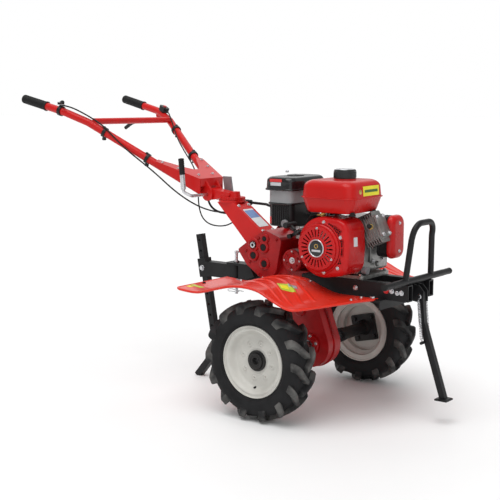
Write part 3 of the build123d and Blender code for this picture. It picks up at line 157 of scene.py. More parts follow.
red = material("red_enamel", (0.55, 0.010, 0.009), 0.30, coat=0.08, spread=0.07, grain=9, bump=0.05,
               fine=220, spec=0.22)
# Lighter, more orange copy of the red enamel for the upward-facing mudguards: painted light of the top-lit
# sheet
fender_red_lit = material("mudguard_enamel_painted_light", (0.66, 0.024, 0.010), 0.28, coat=0.2, spread=0.05, grain=7,
                      bump=0.04, fine=60, spec=0.3)
# Darker copy of the red enamel for the gear case and its leg, which wear the body's paint: painted shade
case_red_shaded = material("casting_enamel_painted_shade", (0.37, 0.005, 0.007), 0.30, coat=0.08, spread=0.16, grain=26,
                    bump=0.3, fine=380, edge=0.004, spec=0.25)
engine_red = material("shroud_enamel", (0.50, 0.007, 0.008), 0.28, coat=0.08, spread=0.08, grain=11,
                      bump=0.06, fine=260, spec=0.22)
tank_red = material("tank_enamel", (0.50, 0.008, 0.007), 0.26, coat=0.08, spread=0.05, grain=8, bump=0.03,
                    fine=160, spec=0.22)
black = material("black_powder_coat", (0.009, 0.009, 0.010), 0.42, spread=0.25, grain=30, bump=0.35,
                 fine=900, dust=0.05, dust_colour=(0.10, 0.10, 0.10), spec=0.25)
cream = material("rim_paint", (0.56, 0.55, 0.51), 0.42, coat=0.05, spread=0.06, grain=16, bump=0.12,
                 fine=240, dust=0.35, dust_colour=(0.34, 0.33, 0.30))
tyre_rubber = material("tyre_rubber", (0.011, 0.011, 0.012), 0.72, spread=0.30, grain=22, bump=0.45,
                       fine=500, dust=0.12, dust_colour=(0.05, 0.048, 0.046), edge=0.002, spec=0.22)
lug_rubber = material("lug_rubber", (0.016, 0.016, 0.017), 0.68, spread=0.35, grain=30, bump=0.4, fine=420,
                      dust=0.9, dust_colour=(0.19, 0.185, 0.175), edge=0.003, spec=0.25)
rubber = material("black_rubber", (0.010, 0.010, 0.010), 0.58, spread=0.2, grain=60, bump=0.3, fine=700,
                  spec=0.25)
steel = material("machined_steel", (0.46, 0.46, 0.47), 0.30, metal=1, spread=0.10, grain=50, bump=0.12,
                 fine=800, streak=6)
zinc = material("zinc_plate", (0.60, 0.60, 0.62), 0.26, metal=1, spread=0.12, grain=70, bump=0.12, fine=600)
cast = material("cast_aluminium", (0.36, 0.36, 0.35), 0.46, metal=1, spread=0.22, grain=60, bump=0.8,
                fine=700, dust=0.3, dust_colour=(0.12, 0.12, 0.11))
iron = material("cast_iron", (0.16, 0.16, 0.165), 0.5, metal=1, spread=0.2, grain=50, bump=0.6, fine=500)
hub_black = material("hub_black", (0.010, 0.010, 0.011), 0.46, spread=0.25, grain=40, bump=0.35, fine=600,
                     dust=0.08, spec=0.25)
plastic = material("black_plastic", (0.010, 0.010, 0.011), 0.36, spread=0.15, grain=40, bump=0.22,
                   fine=1200, spec=0.3)
gloss_black = material("gloss_black_plastic", (0.008, 0.008, 0.009), 0.16, coat=0.3, spread=0.1, grain=20,
                       bump=0.03, fine=300, edge=0.003)
smoke = material("smoke_plastic", (0.34, 0.35, 0.36), 0.30, spread=0.12, grain=20, bump=0.2, fine=260,
                 clear=0.2)
grey_plastic = material("grey_plastic", (0.20, 0.20, 0.21), 0.36, spread=0.12, grain=40, bump=0.15, fine=800)
grey_paint = material("grey_plate", (0.26, 0.26, 0.27), 0.36, metal=0.3, spread=0.1, grain=40, bump=0.2,
                      fine=500)


def label_paint(name, base, rough=0.36, spread=0.06, grain=30, metal=0.0):
    return material(name, base, rough, metal=metal, spread=spread, grain=grain, bump=0.04, fine=400, edge=0)


yellow = label_paint("yellow_label", (0.80, 0.72, 0.02))
lime = label_paint("lime_label", (0.46, 0.58, 0.05), 0.34, 0.08, 25)
green = label_paint("green_mark", (0.05, 0.12, 0.02), 0.4, 0.1, 40)
white = label_paint("white_label", (0.66, 0.68, 0.70), spread=0.05)
blue = label_paint("blue_label", (0.16, 0.25, 0.48), spread=0.12)
silver = label_paint("silver_label", (0.55, 0.56, 0.58), 0.28, 0.08, metal=0.7)
red_plastic = material("red_plastic", (0.58, 0.02, 0.02), 0.3, coat=0.3, spread=0.08, grain=40, bump=0.1,
                       fine=600)
brass = material("gold_plate", (0.60, 0.42, 0.13), 0.3, metal=1, spread=0.12, grain=60, bump=0.15, fine=500)
# Near black standing in for the shade inside the shroud's vent openings: painted shade
dark = material("painted_vent_shade", (0.006, 0.004, 0.004), 0.8, spread=0.3, grain=60, bump=0.2, fine=600,
                edge=0, spec=0.1)

FINISH = {
    red: "belt_cover handle_column swivel_head handlebar",
    engine_red: "fan_shroud recoil_cover muffler_guard",
    tank_red: "fuel_tank",
    fender_red_lit: "fender_left fender_right",
    case_red_shaded: "gearcase_right gearcase_left",
    black: "engine_bed bumper stand_leg hitch_bracket drawbar stake",
    cream: "rim_left rim_right",
    tyre_rubber: "tyre_left tyre_right",
    rubber: "grips drive_belt clutch_cable throttle_cable switch_wire case_plugs",
    steel: "axle_shaft final_gear idler_gear_lower idler_gear_upper output_gear lay_gear input_shaft "
           "crankshaft",
    zinc: "frame_bolts hitch_pins stand_springs swivel_lock clutch_lever",
    cast: "crankcase cylinder_head carburettor",
    iron: "engine_pulley gearbox_pulley tension_arm",
    hub_black: "wheel_hubs",
    plastic: "air_cleaner_base recoil_handle switch_box bar_clips choke_lever gear_lever muffler "
             "throttle_lever",
    gloss_black: "air_cleaner_cover fuel_cap",
    red_plastic: "stop_button",
    smoke: "filter_ring",
}
for finish, names in FINISH.items():
    for name in names.split():
        slots = nodes[name].data.materials
        slots.clear()
        slots.append(finish)


# Mesh helpers
def keep(obj, body):
    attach(obj, body)
    return obj


def from_bmesh(name, bm, mat, smooth=True):
    mesh = bpy.data.meshes.new(name)
    bmesh.ops.recalc_face_normals(bm, faces=bm.faces)
    bm.to_mesh(mesh)
    bm.free()
    mesh.materials.append(mat)
    obj = bpy.data.objects.new(name, mesh)
    bpy.context.scene.collection.objects.link(obj)
    if smooth:
        mesh.shade_smooth()
        mesh.set_sharp_from_angle(angle=radians(32))
    return obj


def modifiers(obj, bevel=0.0, solid=0.0):
    if solid:
        thick = obj.modifiers.new("thick", "SOLIDIFY")
        thick.thickness = solid
        thick.offset = -1
    if bevel:
        soft = obj.modifiers.new("bevel", "BEVEL")
        soft.width = bevel
        soft.segments = 2
        soft.limit_method = "ANGLE"
        soft.angle_limit = radians(35)
    return obj


def frame_of(axis):
    """Two directions square to axis, and axis itself."""
    w = Vector(axis).normalized()
    u = w.orthogonal().normalized() if abs(w.y) < 0.9 else Vector(AHEAD)
    u = (u - w * u.dot(w)).normalized()
    return u, w.cross(u), w


def rounded(half_u, half_v, corner, steps):
    """Points round a rectangle with rounded corners."""
    made = []
    for su, sv, start in ((1, 1, 0), (-1, 1, 90), (-1, -1, 180), (1, -1, 270)):
        for k in range(steps + 1):
            a = radians(start + 90 * k / steps)
            made.append((su * (half_u - corner) + corner * cos(a), sv * (half_v - corner)
                         + corner * sin(a)))
    return made


def skin(bm, rings, ends=False):
    """Faces between closed rings that have the same number of points, and over both ends."""
    for low, high in zip(rings, rings[1:]):
        for k in range(len(low)):
            n = (k + 1) % len(low)
            bm.faces.new((low[k], low[n], high[n], high[k]))
    if ends:
        bm.faces.new(list(reversed(rings[0])))
        bm.faces.new(rings[-1])


def sheet(bm, grid):
    """Faces between the points of a grid."""
    for one, two in zip(grid, grid[1:]):
        for k in range(len(one) - 1):
            bm.faces.new((one[k], two[k], two[k + 1], one[k + 1]))


def add_lathe(bm, centre, axis, profile, steps=48, closed=False):
    """Revolves (radius, along) in millimetres round an axis through centre."""
    u, v, w = frame_of(axis)
    rings = []
    for radius, along in profile:
        if radius < 1e-6:
            rings.append([bm.verts.new(centre + w * along / 1000)])
            continue
        rings.append([bm.verts.new(centre + w * along / 1000 + (u * cos(a) + v * sin(a)) * radius / 1000)
                      for a in (2 * pi * k / steps for k in range(steps))])
    pairs = list(zip(rings, rings[1:]))
    if closed:
        pairs.append((rings[-1], rings[0]))
    for a, b in pairs:
        if len(a) == len(b) == 1:
            continue
        for k in range(steps):
            n = (k + 1) % steps
            corners = [a[k], a[n]] if len(a) > 1 else [a[0]]
            corners += [b[n], b[k]] if len(b) > 1 else [b[0]]
            bm.faces.new(corners)
    return rings


def add_hex_bolt(bm, centre, axis, radius, height, washer=1.45):
    """Chamfered hexagon head on a washer, dished on top."""
    add_lathe(bm, centre, axis, [(0, 0), (radius * washer, 0), (radius * washer, 0.9),
                                 (radius * washer - 0.5, 1.4), (0, 1.4)], steps=24)
    add_lathe(bm, centre, axis, [(0, 1.2), (radius, 1.2), (radius, height - radius * 0.16), (radius * 0.84,
            height), (radius * 0.5, height), (radius * 0.42, height - 0.5), (0, height - 0.5)], steps=6)


def piece(name, bm, mat, bevel=0.0, body="chassis"):
    return keep(modifiers(from_bmesh(name, bm, mat), bevel=bevel), body)


def add_slab(bm, centre, u, v, half_u, half_v, thick, corner, lift=0.0):
    """Rounded rectangular slab standing on the plane spanned by u and v."""
    u = Vector(u).normalized()
    v = Vector(v).normalized()
    w = u.cross(v)
    outline = rounded(half_u, half_v, corner, 4)
    low = [bm.verts.new(centre + (u * a + v * b + w * lift) / 1000) for a, b in outline]
    high = [bm.verts.new(centre + (u * a + v * b + w * (lift + thick)) / 1000) for a, b in outline]
    top = bm.verts.new(centre + w * (lift + thick) / 1000)
    base = bm.verts.new(centre + w * lift / 1000)
    count = len(outline)
    for k in range(count):
        n = (k + 1) % count
        bm.faces.new((low[k], low[n], high[n], high[k]))
        bm.faces.new((high[k], high[n], top))
        bm.faces.new((low[n], low[k], base))


def slab(name, mat, centre, u, v, half_u, half_v, thick=0.6, corner=2.0, lift=0.1, body="chassis"):
    bm = bmesh.new()
    add_slab(bm, centre, u, v, half_u, half_v, thick, corner, lift)
    return piece(name, bm, mat, 0, body)


def lathe(name, mat, centre, axis, profile, steps=64, closed=False, body="chassis"):
    bm = bmesh.new()
    add_lathe(bm, centre, axis, profile, steps, closed)
    return piece(name, bm, mat, 0, body)


def bolts(name, places, axis, radius, height, washer=1.45, mat=zinc, body="chassis"):
    bm = bmesh.new()
    for place in places:
        add_hex_bolt(bm, place, axis, radius, height, washer)
    return piece(name, bm, mat, body=body)


def rod(name, mat, kind, points, radius, fineness):
    """Round wire along points in metres, as a smooth or a straight-run curve."""
    curve = bpy.data.curves.new(name, "CURVE")
    curve.dimensions = "3D"
    curve.bevel_depth = radius / 1000
    curve.bevel_resolution = fineness
    spline = curve.splines.new(kind)
    spline.points.add(len(points) - 1)
    for slot_point, point in zip(spline.points, points):
        slot_point.co = (*point, 1)
    if kind == "NURBS":
        curve.resolution_u = 16
        curve.use_fill_caps = True
        spline.order_u = 3
        spline.use_endpoint_u = True
    curve.materials.append(mat)
    obj = bpy.data.objects.new(name, curve)
    bpy.context.scene.collection.objects.link(obj)
    return obj


def nurbs(name, mat, points, radius, body="chassis"):
    return keep(rod(name, mat, "NURBS", [at(*point) for point in points], radius, 5), body)


# Cables
CLUTCH_ROUTE = [(-938, 262, 971), (-905, 252, 949), (-850, 228, 921), (-775, 192, 873), (-700, 157, 826),
                (-628, 120, 776), (-566, 80, 724), (-528, 44, 680), (-496, 20, 650), (-452, 10, 632),
                (-408, 10, 630), (-376.2, 10, 633)]
THROTTLE_ROUTE = [(-971, -262, 1024), (-934, -256, 1017), (-884, -238, 992), (-827, -211, 956), (-787, -206,
        922), (-742, -188, 873), (-692, -152, 823), (-642, -120, 776), (-592, -92, 722), (-545, -66, 682),
                  (-500, -40, 653), (-455, -22, 638), (-411, -12, 635), (-381, -8, 638)]
SWITCH_ROUTE = [(-912, 243, 1001), (-886, 226, 996), (-856, 200, 985), (-826, 186, 948), (-786, 161, 902),
                (-740, 140, 863), (-690, 116, 828), (-640, 94, 794), (-592, 60, 752), (-556, 24, 708),
                (-530, -8, 662), (-504, -24, 616), (-466, -30, 590), (-418, -28, 584), (-376, -26, 590),
                (-348.9, -24, 605)]
TUBE_END_X = -640     # where the cables leave the handlebar's tubes
SWIVEL_X = -515       # where they pass the tilt bolt


def smooth_path(points, per=10):
    """Cubic B-spline through clamped control points, sampled evenly in its parameter."""
    ends = [points[0]] * 2 + list(points) + [points[-1]] * 2
    ctrl = [at(*q) for q in ends]
    made = []
    for k in range(len(ctrl) - 3):
        for j in range(per):
            t = j / per
            w = ((1 - t) ** 3 / 6, (3 * t ** 3 - 6 * t ** 2 + 4) / 6, (-3 * t ** 3 + 3 * t ** 2 + 3 * t
                    + 1) / 6, t ** 3 / 6)
            made.append(sum((ctrl[k + m] * w[m] for m in range(4)), Vector()))
    made.append(ctrl[-1])
    kept = [made[0]]
    for q in made[1:]:
        if (q - kept[-1]).length > 0.0015:
            kept.append(q)
    return kept


def tube_mesh(name, mat, path, radius, sides=12):
    bm = bmesh.new()
    normal = (path[1] - path[0]).orthogonal().normalized()
    rings = []
    for k, q in enumerate(path):
        ahead = (path[min(k + 1, len(path) - 1)] - path[max(k - 1, 0)]).normalized()
        normal = (normal - ahead * normal.dot(ahead)).normalized()
        other = ahead.cross(normal)
        rings.append([bm.verts.new(q + (normal * cos(2 * pi * j / sides) + other * sin(2 * pi * j / sides))
                                   * radius / 1000) for j in range(sides)])
    skin(bm, rings, ends=True)
    return from_bmesh(name, bm, mat)


for name, route, radius in (("clutch_cable", CLUTCH_ROUTE, 4), ("throttle_cable", THROTTLE_ROUTE, 2.75),
                            ("switch_wire", SWITCH_ROUTE, 2.5)):
    path = smooth_path(route)
    first = next(k for k, q in enumerate(path) if q.x * 1000 - AXLE_X > TUBE_END_X)
    middle = next(k for k, q in enumerate(path) if q.x * 1000 - AXLE_X > SWIVEL_X)
    top = tube_mesh(name + "_top", rubber, path[:first + 1], radius)
    keep(top, "handlebar")
    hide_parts(name)
    bend = tube_mesh(name + "_bend", rubber, path[first:middle + 1], radius)
    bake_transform(bend)
    tail = tube_mesh(name + "_tail", rubber, path[middle:], radius)
    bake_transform(tail)

# Rims with dimples
for side, name in ((1, "rim_left"), (-1, "rim_right")):
    bm = bmesh.new()
    dish = [(84 - (84 - 34.4) * k / 30, 337) for k in range(31)]
    profile = [(34.4, 332), (84, 332), (84, 311), (98, 301), (98, 287), (115, 286.5), (116, 283),
               (120, 283), (120, 290), (101, 291), (101, 303), (88, 313), (88, 337), (100, 345), (101, 359),
               (119, 360), (120.4, 363), (120, 367), (118.4, 368.4), (116.4, 367.4), (115.4, 363.8),
               (113.4, 362.6), (110, 363.2), (107, 364.6), (104, 363.6), (101.5, 361), (98, 357), (95, 350),
               (92, 344), (88.5, 339.5)] + dish
    rings = add_lathe(bm, at(0, 0, AXLE_Z), (0, side, 0), profile, 192, closed=True)
    for ring in rings[-len(dish):]:
        for vert in ring:
            dx = vert.co.x * 1000 - AXLE_X
            dz = vert.co.z * 1000 - AXLE_Z
            push = 0.0
            for k in range(DIMPLES):
                a = radians(45 * k + 13 * side)
                d = hypot(dx - 60 * cos(a), dz - 60 * sin(a))
                if d < 5.5:
                    push += 3.4 - 5.6 * (0.5 + 0.5 * cos(pi * d / 5.5))
                elif d < 11.5:
                    push += 3.4 * (0.5 + 0.5 * cos(pi * (d - 5.5) / 6))
            reach = hypot(dx, dz)
            if 40 < reach < 48:
                push += 0.8 * sin(pi * (reach - 40) / 8)
            vert.co.y += side * push / 1000
    obj = from_bmesh(name + "_dimpled", bm, cream)
    keep(obj, "drive_wheels")
    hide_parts(name)
    bm = bmesh.new()
    a = radians(-94)
    valve = at(92 * cos(a), side * 344, AXLE_Z + 92 * sin(a))
    add_lathe(bm, valve, (0, side, -0.1), [(0, -6), (5, -6), (5, 0.2), (3.6, 1), (3.0, 3.2), (0, 3.2)], 20)
    piece(name + "_valve", bm, rubber, body="drive_wheels")

# Hub faces: stepped rings round a dark bore
for side in (-1, 1):
    word = "left" if side > 0 else "right"
    lathe(f"hub_face_{word}", hub_black, at(0, side * 348, AXLE_Z), (0, side, 0), [(11.9, -3), (26.4, -0.6),
            (26.4, 1.0), (25, 2.2), (20, 2.2), (19.2, 0.6), (15.6, 0.6), (14.8, 1.8), (12.4, 1.8),
            (11.9, 1.0)], 64, closed=True, body="drive_wheels")
    lathe(f"hub_ring_{word}", hub_black, at(0, side * 344, AXLE_Z), (0, side, 0), [(26.2, -6), (34.6, -6),
            (35, -2), (34.2, 0.4), (32, 1.2), (28, 1.2), (26.2, 0.4)], 64, closed=True, body="drive_wheels")

# Tyres: carcass with beads and a crease at the shoulder, and hooked lugs
CARCASS = [(101.3, 22), (101.3, 33.6), (110, 34.2), (119, 35), (121.6, 37.5), (122.4, 42), (125, 44.6),
           (127.6, 44.6), (129, 47.6), (136, 50.6), (144, 52.0), (152, 52.2), (160, 50.8), (166, 48.0),
           (171, 45.0), (176, 40.5), (180, 32), (182.6, 20), (183.8, 8), (184, 0)]
LUG_TOP = [(199.6, -7), (200, 0), (199.8, 8), (199.4, 17), (198.6, 26), (197.2, 35), (195.0, 43),
           (191.5, 49.5), (185, 52.8), (177, 53.6), (169, 53.2), (163, 51.6)]
LUG_FOOT = [(181.5, -7), (182, 0), (181.6, 8), (180.6, 17), (178.8, 25), (175.5, 32), (171.5, 38),
            (167.5, 42), (163.5, 45), (160, 47), (157, 48.4), (155, 49.4)]
LUG_SWEEP = [-1.2, 0.0, 1.8, 4.4, 7.4, 10.4, 12.8, 14.4, 15.2, 15.6, 15.7, 15.6]
LUG_WIDE = [15, 17, 18.5, 20, 21.5, 23, 24, 24.5, 24, 23, 21.5, 19]
for side, name in ((1, "tyre_left"), (-1, "tyre_right")):
    centre_y = side * WHEEL_Y
    profile = CARCASS + [(r, -y) for r, y in reversed(CARCASS[:-1])]
    body = lathe(name + "_carcass", tyre_rubber, at(0, centre_y, AXLE_Z), LEFT, profile, 144, closed=True,
                 body="drive_wheels")
    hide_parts(name)
    bm = bmesh.new()
    for row in (1, -1):
        for number in range(LUGS):
            start = radians(360 / LUGS * (number + (0.5 if row * side < 0 else 0)))
            sections = []
            for (top_r, top_y), (foot_r, foot_y), sweep, wide in zip(LUG_TOP, LUG_FOOT, LUG_SWEEP, LUG_WIDE):
                mid_a = start - radians(sweep)
                part_r = top_r * 0.55 + foot_r * 0.45
                part_y = top_y * 0.55 + foot_y * 0.45
                flank = [(foot_r, foot_y, wide / 2 + 4), (part_r, part_y, wide / 2 + 1.4), (top_r - 0.9,
                        top_y, wide / 2), (top_r, top_y, wide / 2 - 2.4)]
                section = []
                for r, y, offset in [(r, y, -across) for r, y, across in flank] + flank[::-1]:
                    a = mid_a + offset / r
                    section.append(bm.verts.new(at(r * sin(a), centre_y + row * y, AXLE_Z + r * cos(a))))
                sections.append(section)
            for one, two in zip(sections, sections[1:]):
                for k in range(7):
                    bm.faces.new((one[k], one[k + 1], two[k + 1], two[k]))
            bm.faces.new(sections[0])
            bm.faces.new(list(reversed(sections[-1])))
    lugs = from_bmesh(name + "_lugs", bm, lug_rubber)
    modifiers(lugs, bevel=0.0012)
    keep(lugs, "drive_wheels")

# Mudguards: embossed folds and a rolled edge
FENDER_LINE = [(-309, 415), (-212, 411), (-140, 428), (-75, 444), (-15, 449), (45, 442), (95, 424),
               (150, 408), (200, 405), (318, 405)]
SHEET_TOP = 3.2      # the looks' skin above the line
FOLD_HALF = 8.5
FOLD_HIGH = 3.4
EDGE = 9             # width of the raised edge
FOLDS = [((-185, 150), (-110, 138), (-40, 134), (40, 136), (110, 150)), ((-170, 178), (-100, 176),
        (-50, 186), (20, 216), (110, 272), (172, 322)), ((-160, 212), (-100, 216), (-40, 240), (20, 274),
        (100, 326), (168, 362)), ((-150, 250), (-100, 262), (-50, 288), (0, 314), (70, 346), (150, 382)),
         ((-40, 158), (30, 172), (110, 216), (180, 262))]


def fender_top(x):
    """Height of the sheet's middle line, a smooth curve through FENDER_LINE."""
    x = min(max(x, -309), 318)
    for k in range(len(FENDER_LINE) - 1):
        (xa, za), (xb, zb) = FENDER_LINE[k], FENDER_LINE[k + 1]
        if xa <= x <= xb:
            t = (x - xa) / (xb - xa)
            pa = FENDER_LINE[k - 1] if k else (2 * xa - xb, za)
            pb = FENDER_LINE[k + 2] if k + 2 < len(FENDER_LINE) else (2 * xb - xa, zb)
            ma = (zb - pa[1]) / (xb - pa[0]) * (xb - xa)
            mb = (pb[1] - za) / (pb[0] - xa) * (xb - xa)
            return ((2 * t ** 3 - 3 * t ** 2 + 1) * za + (t ** 3 - 2 * t ** 2 + t) * ma + (3 * t ** 2
                    - 2 * t ** 3) * zb + (t ** 3 - t ** 2) * mb + SHEET_TOP)
    return FENDER_LINE[-1][1] + SHEET_TOP


def fold_rise(x, y):
    """Height of the embossed folds, which fade out at their ends."""
    best = 0.0
    for path in FOLDS:
        total = len(path) - 1
        for k, ((xa, ya), (xb, yb)) in enumerate(zip(path, path[1:])):
            dx, dy = xb - xa, yb - ya
            t = ((x - xa) * dx + (y - ya) * dy) / (dx * dx + dy * dy)
            along = (k + max(0, min(1, t))) / total
            t = max(0, min(1, t))
            d = hypot(x - xa - t * dx, y - ya - t * dy)
            if d < FOLD_HALF:
                fade = min(1, 5 * along, 5 * (1 - along))
                best = max(best, FOLD_HIGH * fade * (0.5 + 0.5 * cos(pi * d / FOLD_HALF)))
    return best


def ease(t):
    t = max(0.0, min(1.0, t))
    return t * t * (3 - 2 * t)


def corner_drop(x, y):
    """How far the outer front corner hangs below the sheet's middle line."""
    return 10 * ease((x - 30) / 150) * ease((y - 150) / 240)


def fender_skin(x, y, side):
    """Height of the pressed sheet, slightly uneven."""
    rise = fold_rise(x, y) + 0.25 * noise.noise(Vector((x / 120, y / 120, side)))
    inside = outer_edge(x) - y
    if inside < EDGE:
        rise += 1.6 * sin(pi * max(0, inside) / EDGE)
    return fender_top(x) - corner_drop(x, y) + rise


def outer_edge(x):
    """Half the width over the mudguards at x, cut off slantwise in front."""
    if x <= 184:
        edge = 395.8
        if x < -290:
            edge -= (-290 - x) * 0.9
        elif x > 172:
            edge -= (x - 172) * 0.5
        return edge
    return 389.8 + (114 - 389.8) * (x - 184) / (316 - 184)


for side, name in ((1, "fender_left"), (-1, "fender_right")):
    bm = bmesh.new()
    columns, rows = ((210, 120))
    inner = 109
    grid = []
    for i in range(columns + 1):
        x = -307.5 + (315.5 + 307.5) * i / columns
        run = [inner + (outer_edge(x) - inner) * j / rows for j in range(rows + 1)]
        grid.append([bm.verts.new(at(x, side * y, fender_skin(x, y, side))) for y in run])
    sheet(bm, grid)
    obj = from_bmesh(name + "_pressed", bm, fender_red_lit)
    modifiers(obj, solid=0.0024)
    keep(obj, "chassis")
    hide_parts(name)
    word = "left" if side > 0 else "right"
    lip = []
    for k in range(48):
        x = -306 + (180 + 306) * k / 47
        lip.append((x, side * (outer_edge(x) - 1.2), fender_top(x) - corner_drop(x, outer_edge(x)) - 2.6))
    front = [(x, side * (outer_edge(x) - 1.6), fender_top(x) - corner_drop(x, outer_edge(x)) - 2.6)
             for x in (188, 210, 240, 270, 300, 311)]
    rear = [(-305.5, side * y, fender_top(-305.5) - 2.6) for y in (112, 200, 300, 370)]
    nurbs(f"mudguard_roll_{word}", fender_red_lit, rear + lip + front, 4.2)


def fender_decal(name, mat, side, x, y, half_x, half_y, turn, lift=0.5):
    bm = bmesh.new()
    n = 14
    run_of = []
    for i in range(n + 1):
        run = []
        for j in range(n + 1):
            a = (i / n - 0.5) * 2 * half_x
            b = (j / n - 0.5) * 2 * half_y
            px = x + a * cos(turn) - b * sin(turn)
            py = y + a * sin(turn) + b * cos(turn)
            run.append(bm.verts.new(at(px, side * py, fender_skin(px, py, side) + lift)))
        run_of.append(run)
    sheet(bm, run_of)
    obj = from_bmesh(name, bm, mat)
    modifiers(obj, solid=0.0003)
    keep(obj, "chassis")


for side in (1, -1):
    word = "left" if side > 0 else "right"
    fender_decal(f"mudguard_label_{word}", lime, side, -272, 320, 28, 9, 0.1)
    fender_decal(f"mudguard_mark_{word}", yellow, side, -286, 342, 10, 9, 0.1)
    fender_decal(f"mudguard_diamond_{word}", lime, side, 62, 262, 27, 27, radians(40))
    fender_decal(f"mudguard_diamond_core_{word}", yellow, side, 58, 268, 13, 13, radians(40), 0.8)
    fender_decal(f"mudguard_diamond_tip_{word}", silver, side, 66, 234, 10, 15, radians(40), 0.8)
    bolts(f"mudguard_bolt_rear_{word}", [at(-290, side * 262, fender_top(-290))], UP, 4.5, 4.5, mat=rubber)
    bolts(f"mudguard_bolts_{word}", [at(x, side * y, fender_top(x)) for x, y in ((262, 186), (264, 128),
            (-232, 128), (-140, 122), (60, 122))], UP, 4.2, 4.5)

# Grips: moulded ribs
for side in (-1, 1):
    end = at(-1176, side * 276, 1049)
    inward = (at(-975, side * 262, 1001) - end).normalized()
    profile = [(0, -5), (13, -5), (16.4, -3.6), (17, -1.5), (17, 3)]
    for k in range(14):
        a = 5 + k * 7.6
        profile += [(17, a), (15.9, a + 1.1), (15.9, a + 2.6), (17, a + 3.7)]
    profile += [(17, 113), (18.6, 114.5), (18.6, 118), (17.4, 119.6), (14.6, 120)]
    made = lathe(f"grip_{'left' if side > 0 else 'right'}", rubber, end, inward, profile, 56,
                 body="handlebar")
    if side < 0:
        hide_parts("grips")

# Clutch lever: plastic sleeve on its end and pivot bolts
nurbs("clutch_lever_sleeve", plastic, [(-1060, 262, 955.5), (-1090, 262, 955), (-1118, 262, 953.4),
                                       (-1140, 262, 943), (-1165, 262, 928)], 7.6, "clutch_lever")
bm = bmesh.new()
add_hex_bolt(bm, at(-962, 272.6, 968), LEFT, 6, 5)
add_hex_bolt(bm, at(-962, 251.4, 968), RIGHT, 6, 5)
piece("lever_bolts", bm, zinc, body="handlebar")


def helix(name, start, end, coil_r, wire_r, turns, body="chassis"):
    """Coil spring in zinc whose first and last turns close in on its axis."""
    tail = 0.06
    u, v, w = frame_of(end - start)
    length = (end - start).length
    steps = int(turns * 16)
    points = []
    for k in range(steps + 1):
        t = k / steps
        squeeze = min(1, min(t, 1 - t) / tail) ** 0.5
        a = 2 * pi * turns * t
        points.append(start + w * length * t + (u * cos(a) + v * sin(a)) * coil_r / 1000 * squeeze)
    return keep(rod(name, zinc, "POLY", points, wire_r, 3), body)


for side in (-1, 1):
    spring = helix(f"stand_spring_{'left' if side > 0 else 'right'}", at(416, side * 24, 405),
                   at(431, side * 24, 268), 4.5, 1.2, 26, "stand")
    if side < 0:
        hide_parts("stand_springs")

# Fan shroud: side vents drawn as thin dark slabs, painted shade of the openings, with bolts, emblem and drum
# label
bm = bmesh.new()


def vent(x, z, turn, columns, rows, pitch, half):
    u = Vector((cos(turn), 0, sin(turn)))
    v = Vector((-sin(turn), 0, cos(turn)))
    for i in range(columns):
        for j in range(rows):
            c = at(x, SHROUD_FACE, z) + (u * (i - (columns - 1) / 2)
                                         + v * (j - (rows - 1) / 2)) * pitch / 1000
            add_slab(bm, c, u, v, half, half, 0.5, 0.8, 0.0)


vent(199, 624, radians(-28), 4, 3, 7.0, 2.5)
vent(176, 641, radians(-24), 3, 2, 7.0, 2.5)
vent(213, 586, 0, 3, 3, 7.0, 2.5)
vent(213, 560, 0, 3, 3, 7.0, 2.5)
vent(207, 528, radians(14), 3, 3, 7.0, 2.5)
piece("shroud_vents", bm, dark)
bm = bmesh.new()
for x, z, turn, hu, hv in ((199, 624, -28, 16, 12.5), (213, 573, 0, 12.4, 25.5)):
    t = radians(turn)
    u = Vector((cos(t), 0, sin(t)))
    v = Vector((-sin(t), 0, cos(t)))
    c = at(x, SHROUD_FACE, z)
    for su, sv, a, b in ((0, hv, hu, 1.1), (0, -hv, hu, 1.1), (hu, 0, 1.1, hv), (-hu, 0, 1.1, hv)):
        add_slab(bm, c + (u * su + v * sv) / 1000, u, v, a, b, 1.4, 0.9)
piece("shroud_frames", bm, engine_red, bevel=0.0005)
bm = bmesh.new()
for x, z in ((214, 606), (84, 508), (152, 486), (205, 505), (75, 610), (150, 651)):
    add_hex_bolt(bm, at(x, SHROUD_FACE, z), RIGHT, 4.2, 4.6, 1.5)
for k in range(3):
    a = radians(90 + 120 * k)
    add_hex_bolt(bm, at(CRANK_X + 66 * cos(a), -193.4, CRANK_Z + 66 * sin(a)), RIGHT, 3.2, 3.6, 1.3)
piece("shroud_bolts", bm, zinc)
lathe("emblem_rim", silver, at(CRANK_X, -196.2, CRANK_Z), RIGHT, [(25.5, 0), (29.5, 0), (30, 0.8),
        (29, 2.2), (27, 2.4), (25.8, 1.4), (25.5, 0)], 72)
lathe("emblem_disc", gloss_black, at(CRANK_X, -196.2, CRANK_Z), RIGHT, [(0, 1.0), (10, 1.0), (18, 0.9),
        (25.6, 0.6), (25.6, 0), (0, 0)], 64)
lathe("emblem_ring", brass, at(CRANK_X, -197.1, CRANK_Z + 7), RIGHT, [(5.0, 0), (7.6, 0), (7.6, 0.5),
        (7.0, 0.8), (5.6, 0.8), (5.0, 0.5), (5.0, 0)], 40)
slab("emblem_bar", silver, at(CRANK_X, -197.0, CRANK_Z - 8), AHEAD, UP, 17, 3.4, 0.5, 1.5, -0.2)
lathe("shroud_step", engine_red, at(CRANK_X, -180.2, CRANK_Z), RIGHT, [(72.4, 0), (79, 0), (79.6, 1),
        (79, 2.6), (77, 4.4), (74.5, 6.5), (72.4, 7)], 96)

rib = [(CRANK_X + 84 * cos(radians(a)), SHROUD_FACE - 0.6, CRANK_Z + 84 * sin(radians(a)))
       for a in range(-70, 96, 6)]
nurbs("shroud_rib", engine_red, rib, 2.6)

# White label on the drum's front
slab("drum_label", white, at(242.0, -132, 589), LEFT, (-0.05, 0, 1), 11, 15, 0.6, 1.6, 0.1)

